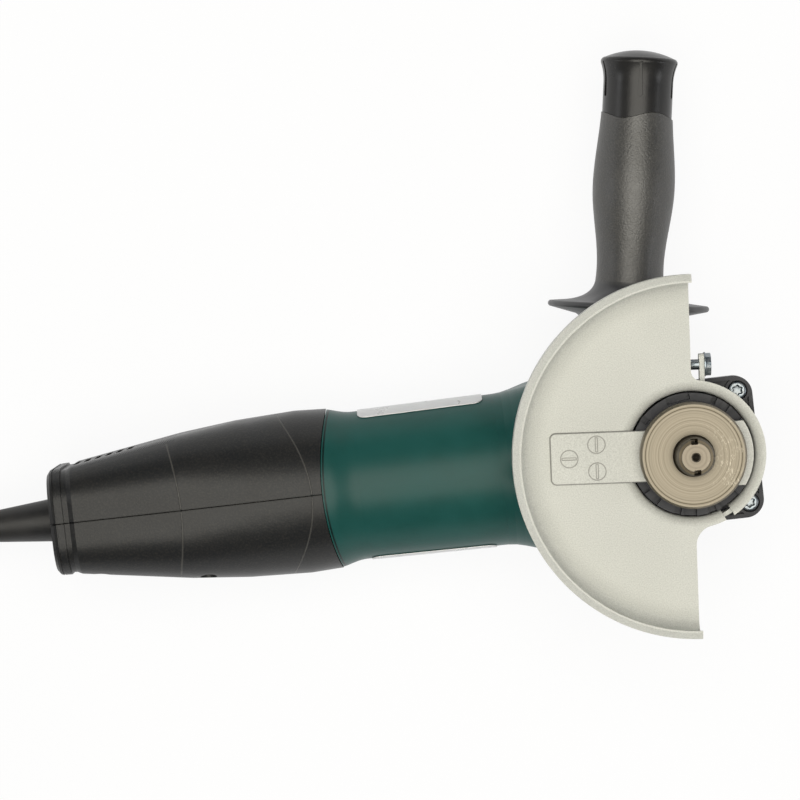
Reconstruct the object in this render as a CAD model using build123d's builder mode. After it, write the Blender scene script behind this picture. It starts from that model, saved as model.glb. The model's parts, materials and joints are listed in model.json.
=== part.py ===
from build123d import *
from math import asin, atan, cos, degrees, pi, radians, sin, sqrt, tan
import os

os.makedirs("parts", exist_ok=True)

# 125 mm angle grinder lying on its back. The origin is on the spindle axis, in the seat that the disc
# clamps to. +X points to the nose, +Y to the side handle and +Z out of the tool through the disc.

# ---------------------------------------------------------------- driving dimensions, millimetres
fit = 0.05  # radial clearance of a seated piece
play = 0.3  # clearance between pieces that move past each other
seam = 0.3  # visible parting line between outer housings

motor_z = -50.0  # armature axis
rest_z = -83.0  # top of the gear housing, on which the upturned tool lies
guard_z = -9.0  # disc side of the guard plate
cover_z = -22.0  # disc side of the bearing cover

# spindle and disc flange
thread_r = 7.0
spindle_tip = 11.0
spindle_chamfer = 1.6
shank_r = 6.8  # relief below the thread
centre_drill_r = 1.8
shoulder_r = 8.6
keyway_width = 2.6
keyway_floor = 4.7
flange_r = 19.8
flange_t = 7.0
flange_boss_r = 10.0
flange_edge = 0.7

# spindle bearing, gears
bearing_bore = 6.0
bearing_r = 16.0
bearing_width = 10.0
bearing_race = 9.3
neck_lip = 2.9
crown_teeth = 37
pinion_teeth = 12
crown_r = 22.0
face_width = 6.5
tooth_backlash = 0.25
pressure_angle = 20.0
crown_seat_r = 5.5
crown_hub_r = 8.5
web_t = 3.5
journal_r = 4.0
journal_length = 13.0
bush_r = 6.0
bush_length = 10.0
circlip_t = 1.1

# bearing cover and gear housing
cover_half = 26.0
cover_side = 26.9  # half width across the tool, a small lip over the housing
cover_t = 5.0
cover_corner = 7.0
neck_r = 23.0
neck_gap_reach = 2.8  # radial depth of the coding gaps
neck_notch_depth = 3.0
# angle about the spindle and width of each coding gap in the rim of the neck
neck_gaps_front = [(36, 5), (50, 3.5), (62, 2), (98, 9), (284, 3), (303, 8)]
neck_gaps_rear = [(138, 2.5), (158, 4), (206, 6), (226, 2.5), (250, 2.5), (262, 5)]
cover_screw_x = 20.5
cover_screw_y = 21.2
cover_screw_r = 2.2
cover_screw_head_r = 3.4
cover_screw_head_t = 2.6
cover_screw_length = 16.0
chamber_clearance = 1.0
chamber_floor = -62.0
crown_top_drop = 17.0  # height over which the top of the housing narrows
top_half = 20.0
side_draft = 1.0

housing_collar = 4.0
shoulder_run = 8.0
flange_screw_y = 27.6
flange_screw_top = 19.0
flange_screw_bottom = -22.0
flange_screw_r = 2.2
flange_screw_head_r = 3.4
flange_screw_grip = 3.0
flange_screw_length = 18.0
exhaust_y = 26.2
exhaust_z = -13.0
exhaust_pitch = 4.4
exhaust_slots = 2
exhaust_length = 7.6
exhaust_width = 2.8
exhaust_depth = 12.0

# side handle seats, one each side
handle_lean = 8.9
handle_x = -18.4
handle_y = 37.0
handle_z = -47.0
handle_boss_r = 11.0
handle_thread_r = 4.0
handle_hole_depth = 14.0

# motor housing
joint_x = -34.0  # gear housing meets motor housing
collar_half = 32.0
collar_top = 28.5
collar_bottom = 32.5
collar_corner = 12.0
collar_end_x = -52.0
barrel_start_x = -71.0
neck_steps = 6
barrel_r = 29.1
waist_x = -125.0
waist_r = 28.4
barrel_end_x = -135.0
barrel_end_r = 30.4
motor_bore = 25.8
rear_curve_r = 107.0
rear_joint_x = -139.0
spigot_r = 27.1
spigot_end_x = -150.0
fan_bore = 27.6
fan_bore_end = -55.0

# rear handle shells
rear_end_x = -242.3
rear_wall = 2.5
rear_front_x = -147.0
rear_mid_x = -170.0
rear_bend_x = -192.0
rear_half_front = 31.2
rear_half_mid = 29.9
rear_half_bend = 27.3
rear_half_back = 20.5
rear_top = 31.0
rear_bottom = 33.0
band_groove = 0.5
rear_bands = 9.1
shell_screws = [(-186.0, 15.0), (-226.0, 16.0), (-216.0, -23.5)]  # x, height above the axis
shell_boss_r = 4.6
shell_screw_r = 1.6
shell_screw_reach = 10.0
shell_head_y = 9.0
shell_head_r = 2.9
air_window_reach = 18.5
air_window_r = 4.5
intake_x = -221.5
intake_pitch = 4.2
intake_slots = 6
intake_width = 2.2
intake_height = 18.0
sleeve_root_r = 8.4
clamp_x = -228.0
cord_clamp_length = 7.0
cord_clamp_width = 22.0
capacitor_length = 17.0
capacitor_rise = 10.0

# armature
shaft_r = 5.5
shaft_front_r = 4.0
shaft_thread_r = 3.0
shaft_rear_r = 3.0
front_bearing_x = -31.5
front_bearing_width = 7.0
front_bearing_r = 11.0
front_race = 6.3
core_x = -112.0
core_length = 42.0
core_r = 15.6
armature_slots = 12
winding_overhang = 8.0
winding_r = 13.8
commutator_x = -142.0
commutator_length = 18.0
commutator_r = 11.5
commutator_bars = 24
rear_bearing_x = -157.0
rear_bearing_width = 6.0
rear_bearing_r = 9.5
rear_race = 5.2
rear_bush_r = 11.5
fan_x = -52.0
fan_length = 11.0
fan_r = 24.0
fan_hub_r = 8.0
fan_blades = 12

fan_blade_angle = 12.0
pinion_nose = 1.0
nut_r = 4.9
nut_t = 3.5

# stator and brush gear
coil_pole = 8.0
coil_gap = 3.0
baffle_t = 1.6
baffle_gap = 4.4
stator_length = 46.0
stator_bore = 16.0
stator_flat = 23.3
coil_inner = 17.5
coil_outer = 22.5
coil_overhang = 7.0
stator_x = fan_bore_end - baffle_t - baffle_gap - coil_overhang - stator_length
brush_x = -133.0
brush_width = 8.0
brush_thickness = 6.2
brush_wall = 1.3
brush_length = 8.0
brush_spring_r = 2.6
brush_spring_wire = 0.8

# slide switch
knob_x = -112.0
knob_length = 26.0
knob_reach = 32.3
knob_angle = 30.0
knob_neck = 8.0
knob_neck_width = 4.0
switch_travel = 7.0
rod_drop = 24.6
rod_width = 6.0
rod_t = 1.6
rod_front_x = -92.0
rod_end_x = -184.0
rod_round_r = 1.5
rod_collar_x = -172.5
rod_collar_r = 3.0
switch_length = 24.0
switch_width = 14.0
switch_height = 15.0

# spindle lock
lock_x = 11.4
lock_pin_r = 2.0
lock_travel = 3.5
lock_gap = 1.1
lock_button_r = 5.0
lock_button_t = 2.0
lock_recess = 1.0
lock_spring_r = 3.1
lock_spring_wire = 0.8
lock_spring_end = -67.0

# guard
guard_turn = -4.4
guard_r = 67.4
guard_t = 1.6
guard_rim_z = 9.0
guard_lip = 3.1
lip_crest = 0.7  # level strip along the inner edge of the lip
lip_slope = 1.7  # fall of the lip from its crest to the skirt
guard_corner = 5.0
guard_cut = 0.6
collar_r = 23.5
collar_roll = 4.2
collar_bottom_z = -21.0
collar_slot = 3.5
collar_slot_angle = -60.5
guard_fillet_top = 3.7
guard_fillet_bottom = 7.4
strip_t = 1.2
strip_width = 19.1
strip_reach = 52.8
strip_tail_width = 24.0
strip_tail_r = 22.9
strip_ring_r = 15.5
strip_clearance = 0.8
clinch_r = 3.4
band_t = 1.6
band_height = 6.4
band_z = -20.0
ear_gap = 8.4
ear_t = 1.8
ear_reach = 37.3
clamp_y = 33.2
clamp_screw_r = 2.0
clamp_head_r = 4.25
clamp_head_t = 1.9
clamp_washer_t = 0.7
clamp_screw_length = 20.0
clamp_nut = 7.0

# side handle
handle_flange_s = 20.0
handle_flange_r = 31.1
handle_flange_t = 2.2
handle_neck_r = 12.7
handle_neck_s = 34.0
handle_belly_r = 15.6
handle_belly_s = 62.5
handle_top_r = 13.7
handle_top_s = 92.5
handle_base_r = 12.0
cap_r = 13.3
cap_rim_r = 14.6
cap_rim_s = 113.0
cap_top_s = 117.5
wave_height = 1.2
stud_length = 37.0
stud_end = 25.0
cap_slot_s = 100.5
cap_slots = 5
cap_slot_width = 2.2
cap_slot_depth = 1.0

# mains cord
cord_r = 3.7
coil_x = -360.0
coil_y = -63.6
coil_r = 44.0
coil_wide = 3
coil_high = 4
plug_t = 15.0
plug_stations = [(0, 11, 11), (8, 12, 11), (16, 20, 14), (38, 35, 15), (44, 35, 15)]  # distance, width, height
plug_pin_pitch = 19.0
plug_pin_r = 2.4
plug_pin_length = 19.0
sleeve_length = 47.2
sleeve_tip_r = 4.9
sleeve_collar_r = 10.5
sleeve_collar_t = 3.0


# ---------------------------------------------------------------- shared planes and small helpers
# a plane across the motor axis, whose local x is +Y and local y is +Z
def motor_plane(x):
    return Plane(origin=(x, 0, motor_z), x_dir=(0, 1, 0), z_dir=(1, 0, 0))


def save(piece, name):
    piece.part.label = name
    export_step(piece.part, f"parts/{name}.step")


# half plane through the motor axis: local x is +X, local y the radius
axial_plane = Plane(origin=(0, 0, motor_z), x_dir=(1, 0, 0), z_dir=(0, -1, 0))
motor_axis = Axis((0, 0, motor_z), (1, 0, 0))
cover_screws = [(x, y) for x in (-cover_screw_x, cover_screw_x) for y in (-cover_screw_y, cover_screw_y)]

neck_top = guard_z - 0.6
seat_z = -flange_t - 2.9  # spindle shoulder that the flange sits on
bearing_top = neck_top - neck_lip
bearing_bottom = bearing_top - bearing_width
cover_back = cover_z - cover_t

# ---------------------------------------------------------------- bevel gear geometry
# The two pitch cones share their apex where the spindle and armature axes cross.
module = 2 * crown_r / crown_teeth
pitch_angle = atan(pinion_teeth / crown_teeth)
cone_distance = crown_r / cos(pitch_angle)
addendum_angle = atan(0.9 * module / cone_distance)
dedendum_angle = atan(1.2 * module / cone_distance)
pinion_pitch_r = crown_r * tan(pitch_angle)
crown_tip_h = crown_r * tan(pitch_angle - addendum_angle)
crown_root_h = crown_r * tan(pitch_angle + dedendum_angle)
pinion_tip_r = crown_r * tan(pitch_angle + addendum_angle)
pinion_root_r = crown_r * tan(pitch_angle - dedendum_angle)
tooth_t = pi * module / 2 - tooth_backlash
inner_scale = (crown_r - face_width) / crown_r
crown_rim_r = crown_r + 0.6
chamber_r = crown_rim_r + chamber_clearance
web_face_h = crown_root_h * inner_scale + 0.4
web_back_h = web_face_h + web_t


# ---------------------------------------------------------------- spindle group
with BuildPart() as spindle:
    with BuildSketch(Plane.XZ):
        with BuildLine():
            Polyline(
                (0, spindle_tip - centre_drill_r),
                (centre_drill_r, spindle_tip),
                (thread_r - spindle_chamfer, spindle_tip),
                (thread_r, spindle_tip - spindle_chamfer),
                (thread_r, 0),
                (shank_r, 0),
                (shank_r, seat_z),
                (shoulder_r, seat_z),
                (shoulder_r, bearing_top),
                (bearing_bore, bearing_top),
                (bearing_bore, bearing_bottom),
                (crown_seat_r, bearing_bottom),
                (crown_seat_r, motor_z + web_face_h),
                (crown_seat_r - 0.6, motor_z + web_face_h),
                (crown_seat_r - 0.6, motor_z + web_face_h - circlip_t),
                (crown_seat_r, motor_z + web_face_h - circlip_t),
                (crown_seat_r, chamber_floor),
                (journal_r, chamber_floor),
                (journal_r, chamber_floor - journal_length),
                (0, chamber_floor - journal_length),
                close=True,
            )
        make_face()
    revolve(axis=Axis.Z)
    # two keyways for the lugs of the flange, open at the tip
    with BuildSketch(Plane.XY.offset(spindle_tip)):
        with Locations((0, keyway_floor + thread_r), (0, -keyway_floor - thread_r)):
            Rectangle(keyway_width, 2 * thread_r)
    extrude(amount=seat_z - spindle_tip, mode=Mode.SUBTRACT)
save(spindle, "spindle")

with BuildPart() as support_flange:
    with BuildSketch(Plane.XZ):
        with BuildLine():
            Polyline(
                (thread_r + 0.9, 0),
                (flange_r - flange_edge, 0),
                (flange_r, -flange_edge),
                (flange_r, -flange_t),
                (flange_boss_r, -flange_t),
                (flange_boss_r, seat_z),
                (thread_r + 2 * fit, seat_z),
                (thread_r + 2 * fit, -0.8),
                close=True,
            )
        make_face()
    revolve(axis=Axis.Z)
    with BuildSketch(Plane.XY.offset(seat_z + 1)):
        lug = thread_r + 1 - keyway_floor - 2 * fit
        with Locations((0, keyway_floor + 2 * fit + lug / 2), (0, -keyway_floor - 2 * fit - lug / 2)):
            Rectangle(keyway_width - 4 * fit, lug)
    extrude(amount=4)
save(support_flange, "support_flange")

with BuildPart() as spindle_bearing_inner:
    with BuildSketch(Plane.XY.offset(bearing_bottom)):
        Circle(bearing_race)
        Circle(bearing_bore + 0.01, mode=Mode.SUBTRACT)
    extrude(amount=bearing_width)
save(spindle_bearing_inner, "spindle_bearing_inner")

with BuildPart() as spindle_bearing_outer:
    with BuildSketch(Plane.XY.offset(bearing_bottom)):
        Circle(bearing_r)
        Circle(bearing_race + play, mode=Mode.SUBTRACT)
    extrude(amount=bearing_width)
save(spindle_bearing_outer, "spindle_bearing_outer")

# one crown tooth: the same trapezoid at both ends of the face, scaled towards the shared apex
with BuildPart() as crown_tooth:
    for scale in (1, inner_scale):
        with BuildSketch(motor_plane(-crown_r * scale)):
            slope = tan(radians(pressure_angle))
            half_tip = tooth_t / 2 - (pinion_pitch_r - crown_tip_h) * slope
            root_h = crown_root_h + 0.3
            half_root = tooth_t / 2 + (root_h - pinion_pitch_r) * slope
            Polygon(
                (-half_tip * scale, crown_tip_h * scale),
                (half_tip * scale, crown_tip_h * scale),
                (half_root * scale, root_h * scale),
                (-half_root * scale, root_h * scale),
                align=None,
            )
    loft(ruled=True)

with BuildPart() as crown_wheel:
    with BuildSketch(Plane.XZ):
        rim_inner = crown_r * inner_scale - 0.2
        rim_back = crown_root_h + 3.4
        root_slope = crown_root_h / crown_r
        with BuildLine():
            Polyline(
                (crown_seat_r + 0.01, motor_z + web_face_h),
                (rim_inner, motor_z + web_face_h),
                (rim_inner, motor_z + rim_inner * root_slope),
                (crown_rim_r, motor_z + crown_rim_r * root_slope),
                (crown_rim_r, motor_z + rim_back),
                (rim_inner - 1, motor_z + rim_back),
                (rim_inner - 1, motor_z + web_back_h),
                (crown_hub_r, motor_z + web_back_h),
                (crown_hub_r, bearing_bottom),
                (crown_seat_r + 0.01, bearing_bottom),
                close=True,
            )
        make_face()
    revolve(axis=Axis.Z)
    with PolarLocations(0, crown_teeth):
        add(crown_tooth.part)
    # holes that the lock pin drops into
    with BuildSketch(Plane.XY.offset(motor_z + web_face_h)):
        with PolarLocations(lock_x, 4):
            Circle(lock_pin_r + play)
    extrude(amount=web_t, mode=Mode.SUBTRACT)
save(crown_wheel, "crown_wheel")

with BuildPart() as spindle_circlip:
    with BuildSketch(Plane.XY.offset(motor_z + web_face_h - circlip_t + 0.05)):
        Circle(crown_seat_r + 1.8)
        Circle(crown_seat_r - 0.55, mode=Mode.SUBTRACT)
        with Locations((crown_seat_r, 0)):
            Rectangle(2 * crown_seat_r, 3, mode=Mode.SUBTRACT)
    extrude(amount=circlip_t - 0.1)
save(spindle_circlip, "spindle_circlip")

# ---------------------------------------------------------------- bearing cover
with BuildPart() as bearing_cover:
    with BuildSketch(Plane.XY.offset(cover_back)):
        RectangleRounded(2 * cover_half, 2 * cover_side, cover_corner)
    extrude(amount=cover_t)
    # corner pockets between the screw bosses and the foot of the neck
    with BuildSketch(Plane.XY.offset(cover_z)):
        RectangleRounded(2 * cover_half - 3.2, 2 * cover_side - 3.2, cover_corner - 1.6)
        Circle(neck_r + 3.2, mode=Mode.SUBTRACT)
        with Locations(cover_screws):
            Circle(cover_screw_head_r + 1.3, mode=Mode.SUBTRACT)
    extrude(amount=-2, mode=Mode.SUBTRACT)
    with BuildSketch(Plane.XY.offset(cover_z)):
        Circle(neck_r)
    extrude(amount=neck_top - cover_z)
    # the guard is coded by gaps in the rim of the neck
    with BuildSketch(Plane.XY.offset(neck_top)):
        for angle, gap in neck_gaps_front + neck_gaps_rear:
            with PolarLocations(neck_r, 1, start_angle=angle):
                Rectangle(2 * neck_gap_reach, gap)
    extrude(amount=-neck_notch_depth, mode=Mode.SUBTRACT)
    with BuildSketch(Plane.XY.offset(cover_back)):
        Circle(bearing_r + fit)
    extrude(amount=bearing_top - cover_back, mode=Mode.SUBTRACT)
    with BuildSketch(Plane.XY.offset(bearing_top)):
        Circle(flange_boss_r + 1.2)
    extrude(amount=neck_top - bearing_top, mode=Mode.SUBTRACT)
    with BuildSketch(Plane.XY.offset(bearing_bottom)):
        Circle(bearing_r + 1)
    extrude(amount=-circlip_t - 0.1, mode=Mode.SUBTRACT)
    with Locations(*[(x, y, cover_z) for x, y in cover_screws]):
        CounterBoreHole(cover_screw_r + 0.2, cover_screw_head_r + 0.4, cover_screw_head_t)
save(bearing_cover, "bearing_cover")

with BuildPart() as bearing_circlip:
    with BuildSketch(Plane.XY.offset(bearing_bottom - circlip_t - 0.05)):
        Circle(bearing_r + 0.9)
        Circle(bearing_r - 1.8, mode=Mode.SUBTRACT)
        with Locations((bearing_r, 0)):
            Rectangle(8, 7, mode=Mode.SUBTRACT)
    extrude(amount=circlip_t)
save(bearing_circlip, "bearing_circlip")

head_seat_z = cover_z - cover_screw_head_t
with BuildPart() as cover_screw_set:
    with BuildSketch(Plane.XY.offset(head_seat_z)):
        with Locations(cover_screws):
            Circle(cover_screw_head_r)
    extrude(amount=cover_screw_head_t - 0.3)
    with BuildSketch(Plane.XY.offset(head_seat_z)):
        with Locations(cover_screws):
            Circle(cover_screw_r)
    extrude(amount=-cover_screw_length)
    with BuildSketch(Plane.XY.offset(cover_z - 0.3)):
        with Locations(cover_screws):
            RegularPolygon(1.7, 6)
    extrude(amount=-1.5, mode=Mode.SUBTRACT)
save(cover_screw_set, "cover_screws")

# ---------------------------------------------------------------- gear housing
handle_axis = Vector(sin(radians(handle_lean)), cos(radians(handle_lean)), 0)


# plane on the seat of the side handle, facing out along the handle; side is 1 for +Y and -1 for -Y
def handle_seat(side, depth=0):
    outward = Vector(handle_axis.X, side * handle_axis.Y, 0)
    centre = Vector(handle_x, side * handle_y, handle_z) - outward * depth
    return Plane(origin=centre, x_dir=(0, 0, 1), z_dir=outward)


# screws that hold the gear housing to the motor housing, seen along the motor axis
flange_screws = [(y, z) for y in (-flange_screw_y, flange_screw_y) for z in (flange_screw_top, flange_screw_bottom)]

with BuildPart() as gear_housing:
    with BuildSketch(Plane.XY.offset(rest_z)):
        RectangleRounded(2 * top_half, 2 * top_half, top_half / 2)
    with BuildSketch(Plane.XY.offset(rest_z + 4)):
        RectangleRounded(2 * top_half + 7, 2 * top_half + 7, top_half / 2)
    with BuildSketch(Plane.XY.offset(rest_z + crown_top_drop)):
        RectangleRounded(2 * cover_half, 2 * (cover_half - side_draft), cover_corner)
    with BuildSketch(Plane.XY.offset(cover_back)):
        RectangleRounded(2 * cover_half, 2 * cover_half, cover_corner)
    loft(ruled=True)
    # collar that meets the motor housing
    with BuildSketch(motor_plane(joint_x)):
        with Locations((0, (collar_top - collar_bottom) / 2)):
            RectangleRounded(2 * collar_half, collar_top + collar_bottom, collar_corner)
    extrude(amount=housing_collar)
    shoulder_top = cover_back - motor_z
    with BuildSketch(motor_plane(joint_x + housing_collar)):
        with Locations((0, (shoulder_top - collar_bottom) / 2)):
            RectangleRounded(2 * collar_half - 3, shoulder_top + collar_bottom, collar_corner - 1)
    with BuildSketch(motor_plane(-cover_half + shoulder_run)):
        with Locations((0, (shoulder_top - collar_bottom + 4) / 2)):
            RectangleRounded(2 * cover_half - 1, shoulder_top + collar_bottom - 4, collar_corner - 3)
    loft(ruled=True)
    # threaded bosses for the side handle
    for side in (1, -1):
        with BuildSketch(handle_seat(side)):
            Circle(handle_boss_r)
        extrude(amount=-handle_y + cover_half - 4)
    # gear chamber
    with BuildSketch(Plane.XY.offset(cover_back)):
        Circle(chamber_r)
    extrude(amount=chamber_floor - cover_back, mode=Mode.SUBTRACT)
    with BuildSketch(Plane.XY.offset(chamber_floor)):
        Circle(bush_r + fit)
    extrude(amount=-journal_length - 1, mode=Mode.SUBTRACT)
    # seat of the front armature bearing, and the throat that the pinion passes
    with BuildSketch(motor_plane(joint_x)):
        Circle(front_bearing_r + fit)
    extrude(amount=front_bearing_x + front_bearing_width - joint_x, mode=Mode.SUBTRACT)
    with BuildSketch(motor_plane(front_bearing_x)):
        Circle(pinion_tip_r + 0.7)
    extrude(amount=-chamber_r / 2 - front_bearing_x, mode=Mode.SUBTRACT)
    for side in (1, -1):
        with BuildSketch(handle_seat(side)):
            Circle(handle_thread_r)
        extrude(amount=-handle_hole_depth, mode=Mode.SUBTRACT)
    with BuildSketch(Plane.XY.offset(cover_back)):
        with Locations(cover_screws):
            Circle(cover_screw_r)
    extrude(amount=head_seat_z - cover_screw_length - 1 - cover_back, mode=Mode.SUBTRACT)
    # flange screws: clear holes, and flutes that let the driver in from the nose
    with BuildSketch(motor_plane(joint_x)):
        with Locations(flange_screws):
            Circle(flange_screw_r + 0.2)
    extrude(amount=housing_collar, mode=Mode.SUBTRACT)
    with BuildSketch(motor_plane(joint_x + flange_screw_grip)):
        with Locations(flange_screws):
            Circle(flange_screw_head_r + 0.3)
    extrude(amount=16, mode=Mode.SUBTRACT)
    # exhaust slots from the fan through the shoulders, below the handle seats
    with BuildSketch(motor_plane(joint_x)):
        for side in (1, -1):
            with Locations((side * exhaust_y, exhaust_z)):
                with GridLocations(0, exhaust_pitch, 1, exhaust_slots):
                    Rectangle(exhaust_length, exhaust_width)
    extrude(amount=exhaust_depth, mode=Mode.SUBTRACT)
    # spindle lock: button recess, spring pocket and pin bore
    for radius, floor in (
        (lock_button_r + play, rest_z + lock_recess + lock_button_t + lock_travel + play),
        (lock_spring_r + play, lock_spring_end),
        (lock_pin_r + fit, chamber_floor),
    ):
        with BuildSketch(Plane.XY.offset(rest_z)):
            with Locations((lock_x, 0)):
                Circle(radius)
        extrude(amount=floor - rest_z, mode=Mode.SUBTRACT)
save(gear_housing, "gear_housing")

with BuildPart() as flange_screw_set:
    with BuildSketch(motor_plane(joint_x + flange_screw_grip)):
        with Locations(flange_screws):
            Circle(flange_screw_head_r)
            RegularPolygon(1.6, 6, mode=Mode.SUBTRACT)
    extrude(amount=1.6)
    with BuildSketch(motor_plane(joint_x + flange_screw_grip)):
        with Locations(flange_screws):
            Circle(flange_screw_head_r)
    extrude(amount=1)
    with BuildSketch(motor_plane(joint_x + flange_screw_grip)):
        with Locations(flange_screws):
            Circle(flange_screw_r)
    extrude(amount=-flange_screw_length)
save(flange_screw_set, "gear_housing_screws")

with BuildPart() as needle_bush:
    with BuildSketch(Plane.XY.offset(chamber_floor - 0.5)):
        Circle(bush_r)
        Circle(journal_r + fit, mode=Mode.SUBTRACT)
    extrude(amount=-bush_length)
save(needle_bush, "needle_bush")

# ---------------------------------------------------------------- spindle lock
lock_head_z = rest_z + lock_recess
with BuildPart() as lock_button:
    with BuildSketch(Plane.XY.offset(lock_head_z)):
        with Locations((lock_x, 0)):
            Circle(lock_button_r)
    extrude(amount=lock_button_t)
    fillet(lock_button.faces().sort_by(Axis.Z)[0].edges(), 0.6)
save(lock_button, "lock_button")

with BuildPart() as lock_pin:
    with BuildSketch(Plane.XY.offset(lock_head_z + lock_button_t)):
        with Locations((lock_x, 0)):
            Circle(lock_pin_r)
    extrude(amount=motor_z + web_face_h - lock_gap - lock_head_z - lock_button_t)
    # stop ring that keeps the pin in the housing
    with BuildSketch(Plane.XY.offset(chamber_floor + play)):
        with Locations((lock_x, 0)):
            Circle(lock_pin_r + 1.1)
    extrude(amount=0.8)
save(lock_pin, "lock_pin")

with BuildPart() as lock_spring:
    with BuildSketch(Plane.XY.offset(lock_head_z + lock_button_t)):
        with Locations((lock_x, 0)):
            Circle(lock_spring_r)
            Circle(lock_spring_r - lock_spring_wire, mode=Mode.SUBTRACT)
    extrude(amount=lock_spring_end - lock_head_z - lock_button_t)
save(lock_spring, "lock_spring")

# ---------------------------------------------------------------- motor housing
with BuildPart() as motor_housing:
    collar_height = collar_top + collar_bottom
    # collar, then a smooth neck down to the round grip
    with BuildSketch(motor_plane(collar_end_x)):
        with Locations((0, (collar_top - collar_bottom) / 2)):
            RectangleRounded(2 * collar_half, collar_height, collar_corner)
    extrude(amount=joint_x - collar_end_x)
    for step in range(neck_steps + 1):
        share = step / neck_steps
        blend = share**2 * (3 - 2 * share)
        x = barrel_start_x + (collar_end_x - barrel_start_x) * share
        half_width = barrel_r + (collar_half - barrel_r) * blend
        top = barrel_r + (collar_top - barrel_r) * blend
        bottom = barrel_r + (collar_bottom - barrel_r) * blend
        corner = barrel_r - 0.3 + (collar_corner - barrel_r + 0.3) * blend
        with BuildSketch(motor_plane(x)):
            with Locations((0, (top - bottom) / 2)):
                RectangleRounded(2 * half_width, top + bottom, corner)
    loft(ruled=True)
    # waisted grip
    with BuildSketch(axial_plane):
        with BuildLine():
            grip_line = Line((barrel_start_x, barrel_r), (waist_x, waist_r))
            rim_line = Spline(
                (waist_x, waist_r),
                (barrel_end_x, barrel_end_r),
                (rear_joint_x - 3, barrel_end_r + 0.2),
                tangents=((-1, 0), (-1, 0.02)),
            )
            Polyline(rim_line @ 1, (rear_joint_x - 3, 0), (barrel_start_x, 0), grip_line @ 0)
        make_face()
    revolve(axis=motor_axis)
    # curved joint with the rear shells
    with BuildSketch(Plane.XY.offset(motor_z)):
        with Locations((rear_joint_x + rear_curve_r, 0)):
            Circle(rear_curve_r)
    extrude(amount=collar_half + 5, both=True, mode=Mode.INTERSECT)
    # spigot that the rear shells clamp round
    with BuildSketch(motor_plane(rear_joint_x + 6)):
        Circle(spigot_r)
    extrude(amount=spigot_end_x - rear_joint_x - 6)
    with BuildSketch(motor_plane(joint_x)):
        Circle(motor_bore)
    extrude(amount=spigot_end_x - joint_x, mode=Mode.SUBTRACT)
    with BuildSketch(motor_plane(joint_x)):
        Circle(fan_bore)
    extrude(amount=fan_bore_end - joint_x, mode=Mode.SUBTRACT)
    with BuildSketch(motor_plane(joint_x)):
        with Locations(flange_screws):
            Circle(flange_screw_r)
    extrude(amount=flange_screw_grip - flange_screw_length, mode=Mode.SUBTRACT)
    # slot for the neck of the slide switch
    slot_length = knob_neck + switch_travel + 2 * play
    slot_x = knob_x + (knob_length - knob_neck) / 2 - play
    with BuildSketch(Plane.XY.offset(motor_z - barrel_r - 2)):
        with Locations((slot_x + slot_length / 2, 0)):
            Rectangle(slot_length, knob_neck_width + 2 * play)
    extrude(amount=8, mode=Mode.SUBTRACT)
save(motor_housing, "motor_housing")

# ---------------------------------------------------------------- armature
# involute flank of a pinion tooth at the large end, as (radius, half angle) pairs
base_r = pinion_pitch_r * cos(radians(pressure_angle))
pitch_involute = tan(radians(pressure_angle)) - radians(pressure_angle)
pitch_half_angle = tooth_t / 2 / pinion_pitch_r


def involute_half_angle(radius):
    roll = sqrt((radius / base_r) ** 2 - 1)
    return pitch_half_angle + pitch_involute - (roll - atan(roll))


flank = [(pinion_root_r, involute_half_angle(base_r) + 0.02), (base_r, involute_half_angle(base_r))]
for radius in (pinion_pitch_r, pinion_tip_r):
    flank.append((radius, involute_half_angle(radius)))


# outline of the whole pinion at a scale; a tooth gap faces the crown wheel at rest
def pinion_outline(scale):
    points = []
    for tooth in range(pinion_teeth):
        centre = pi / 2 + (tooth + 0.5) * 2 * pi / pinion_teeth
        side = [(radius, centre - angle) for radius, angle in flank]
        side += [(radius, centre + angle) for radius, angle in reversed(flank)]
        points += [(scale * radius * cos(angle), scale * radius * sin(angle)) for radius, angle in side]
    return points


with BuildPart() as drive_pinion:
    for scale in (1, inner_scale):
        with BuildSketch(motor_plane(-crown_r * scale)):
            Polygon(*pinion_outline(scale), align=None)
    loft(ruled=True)
    with BuildSketch(motor_plane(front_bearing_x + front_bearing_width)):
        Circle(front_race - 0.3)
    extrude(amount=-crown_r - front_bearing_x - front_bearing_width)
    with BuildSketch(motor_plane(-crown_r * inner_scale)):
        Circle(pinion_root_r * inner_scale)
    extrude(amount=pinion_nose)
    with BuildSketch(motor_plane(front_bearing_x + front_bearing_width)):
        Circle(shaft_thread_r + 0.01)
    extrude(amount=crown_r, mode=Mode.SUBTRACT)
save(drive_pinion, "drive_pinion")

pinion_front = -crown_r * inner_scale + pinion_nose
with BuildPart() as pinion_nut:
    with BuildSketch(motor_plane(pinion_front)):
        RegularPolygon(nut_r, 6)
        Circle(shaft_thread_r + 0.01, mode=Mode.SUBTRACT)
    extrude(amount=nut_t)
save(pinion_nut, "pinion_nut")

with BuildPart() as armature_shaft:
    with BuildSketch(axial_plane):
        rear_seat = rear_bearing_x + rear_bearing_width
        with BuildLine():
            Polyline(
                (rear_bearing_x - 1, 0),
                (rear_bearing_x - 1, shaft_rear_r),
                (rear_seat, shaft_rear_r),
                (rear_seat, shaft_rear_r + 0.8),
                (rear_seat + 2, shaft_rear_r + 0.8),
                (rear_seat + 2, shaft_r),
                (front_bearing_x, shaft_r),
                (front_bearing_x, shaft_front_r),
                (front_bearing_x + front_bearing_width, shaft_front_r),
                (front_bearing_x + front_bearing_width, shaft_thread_r),
                (pinion_front + nut_t + 1, shaft_thread_r),
                (pinion_front + nut_t + 1, 0),
                close=True,
            )
        make_face()
    revolve(axis=motor_axis)
save(armature_shaft, "armature_shaft")

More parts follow.
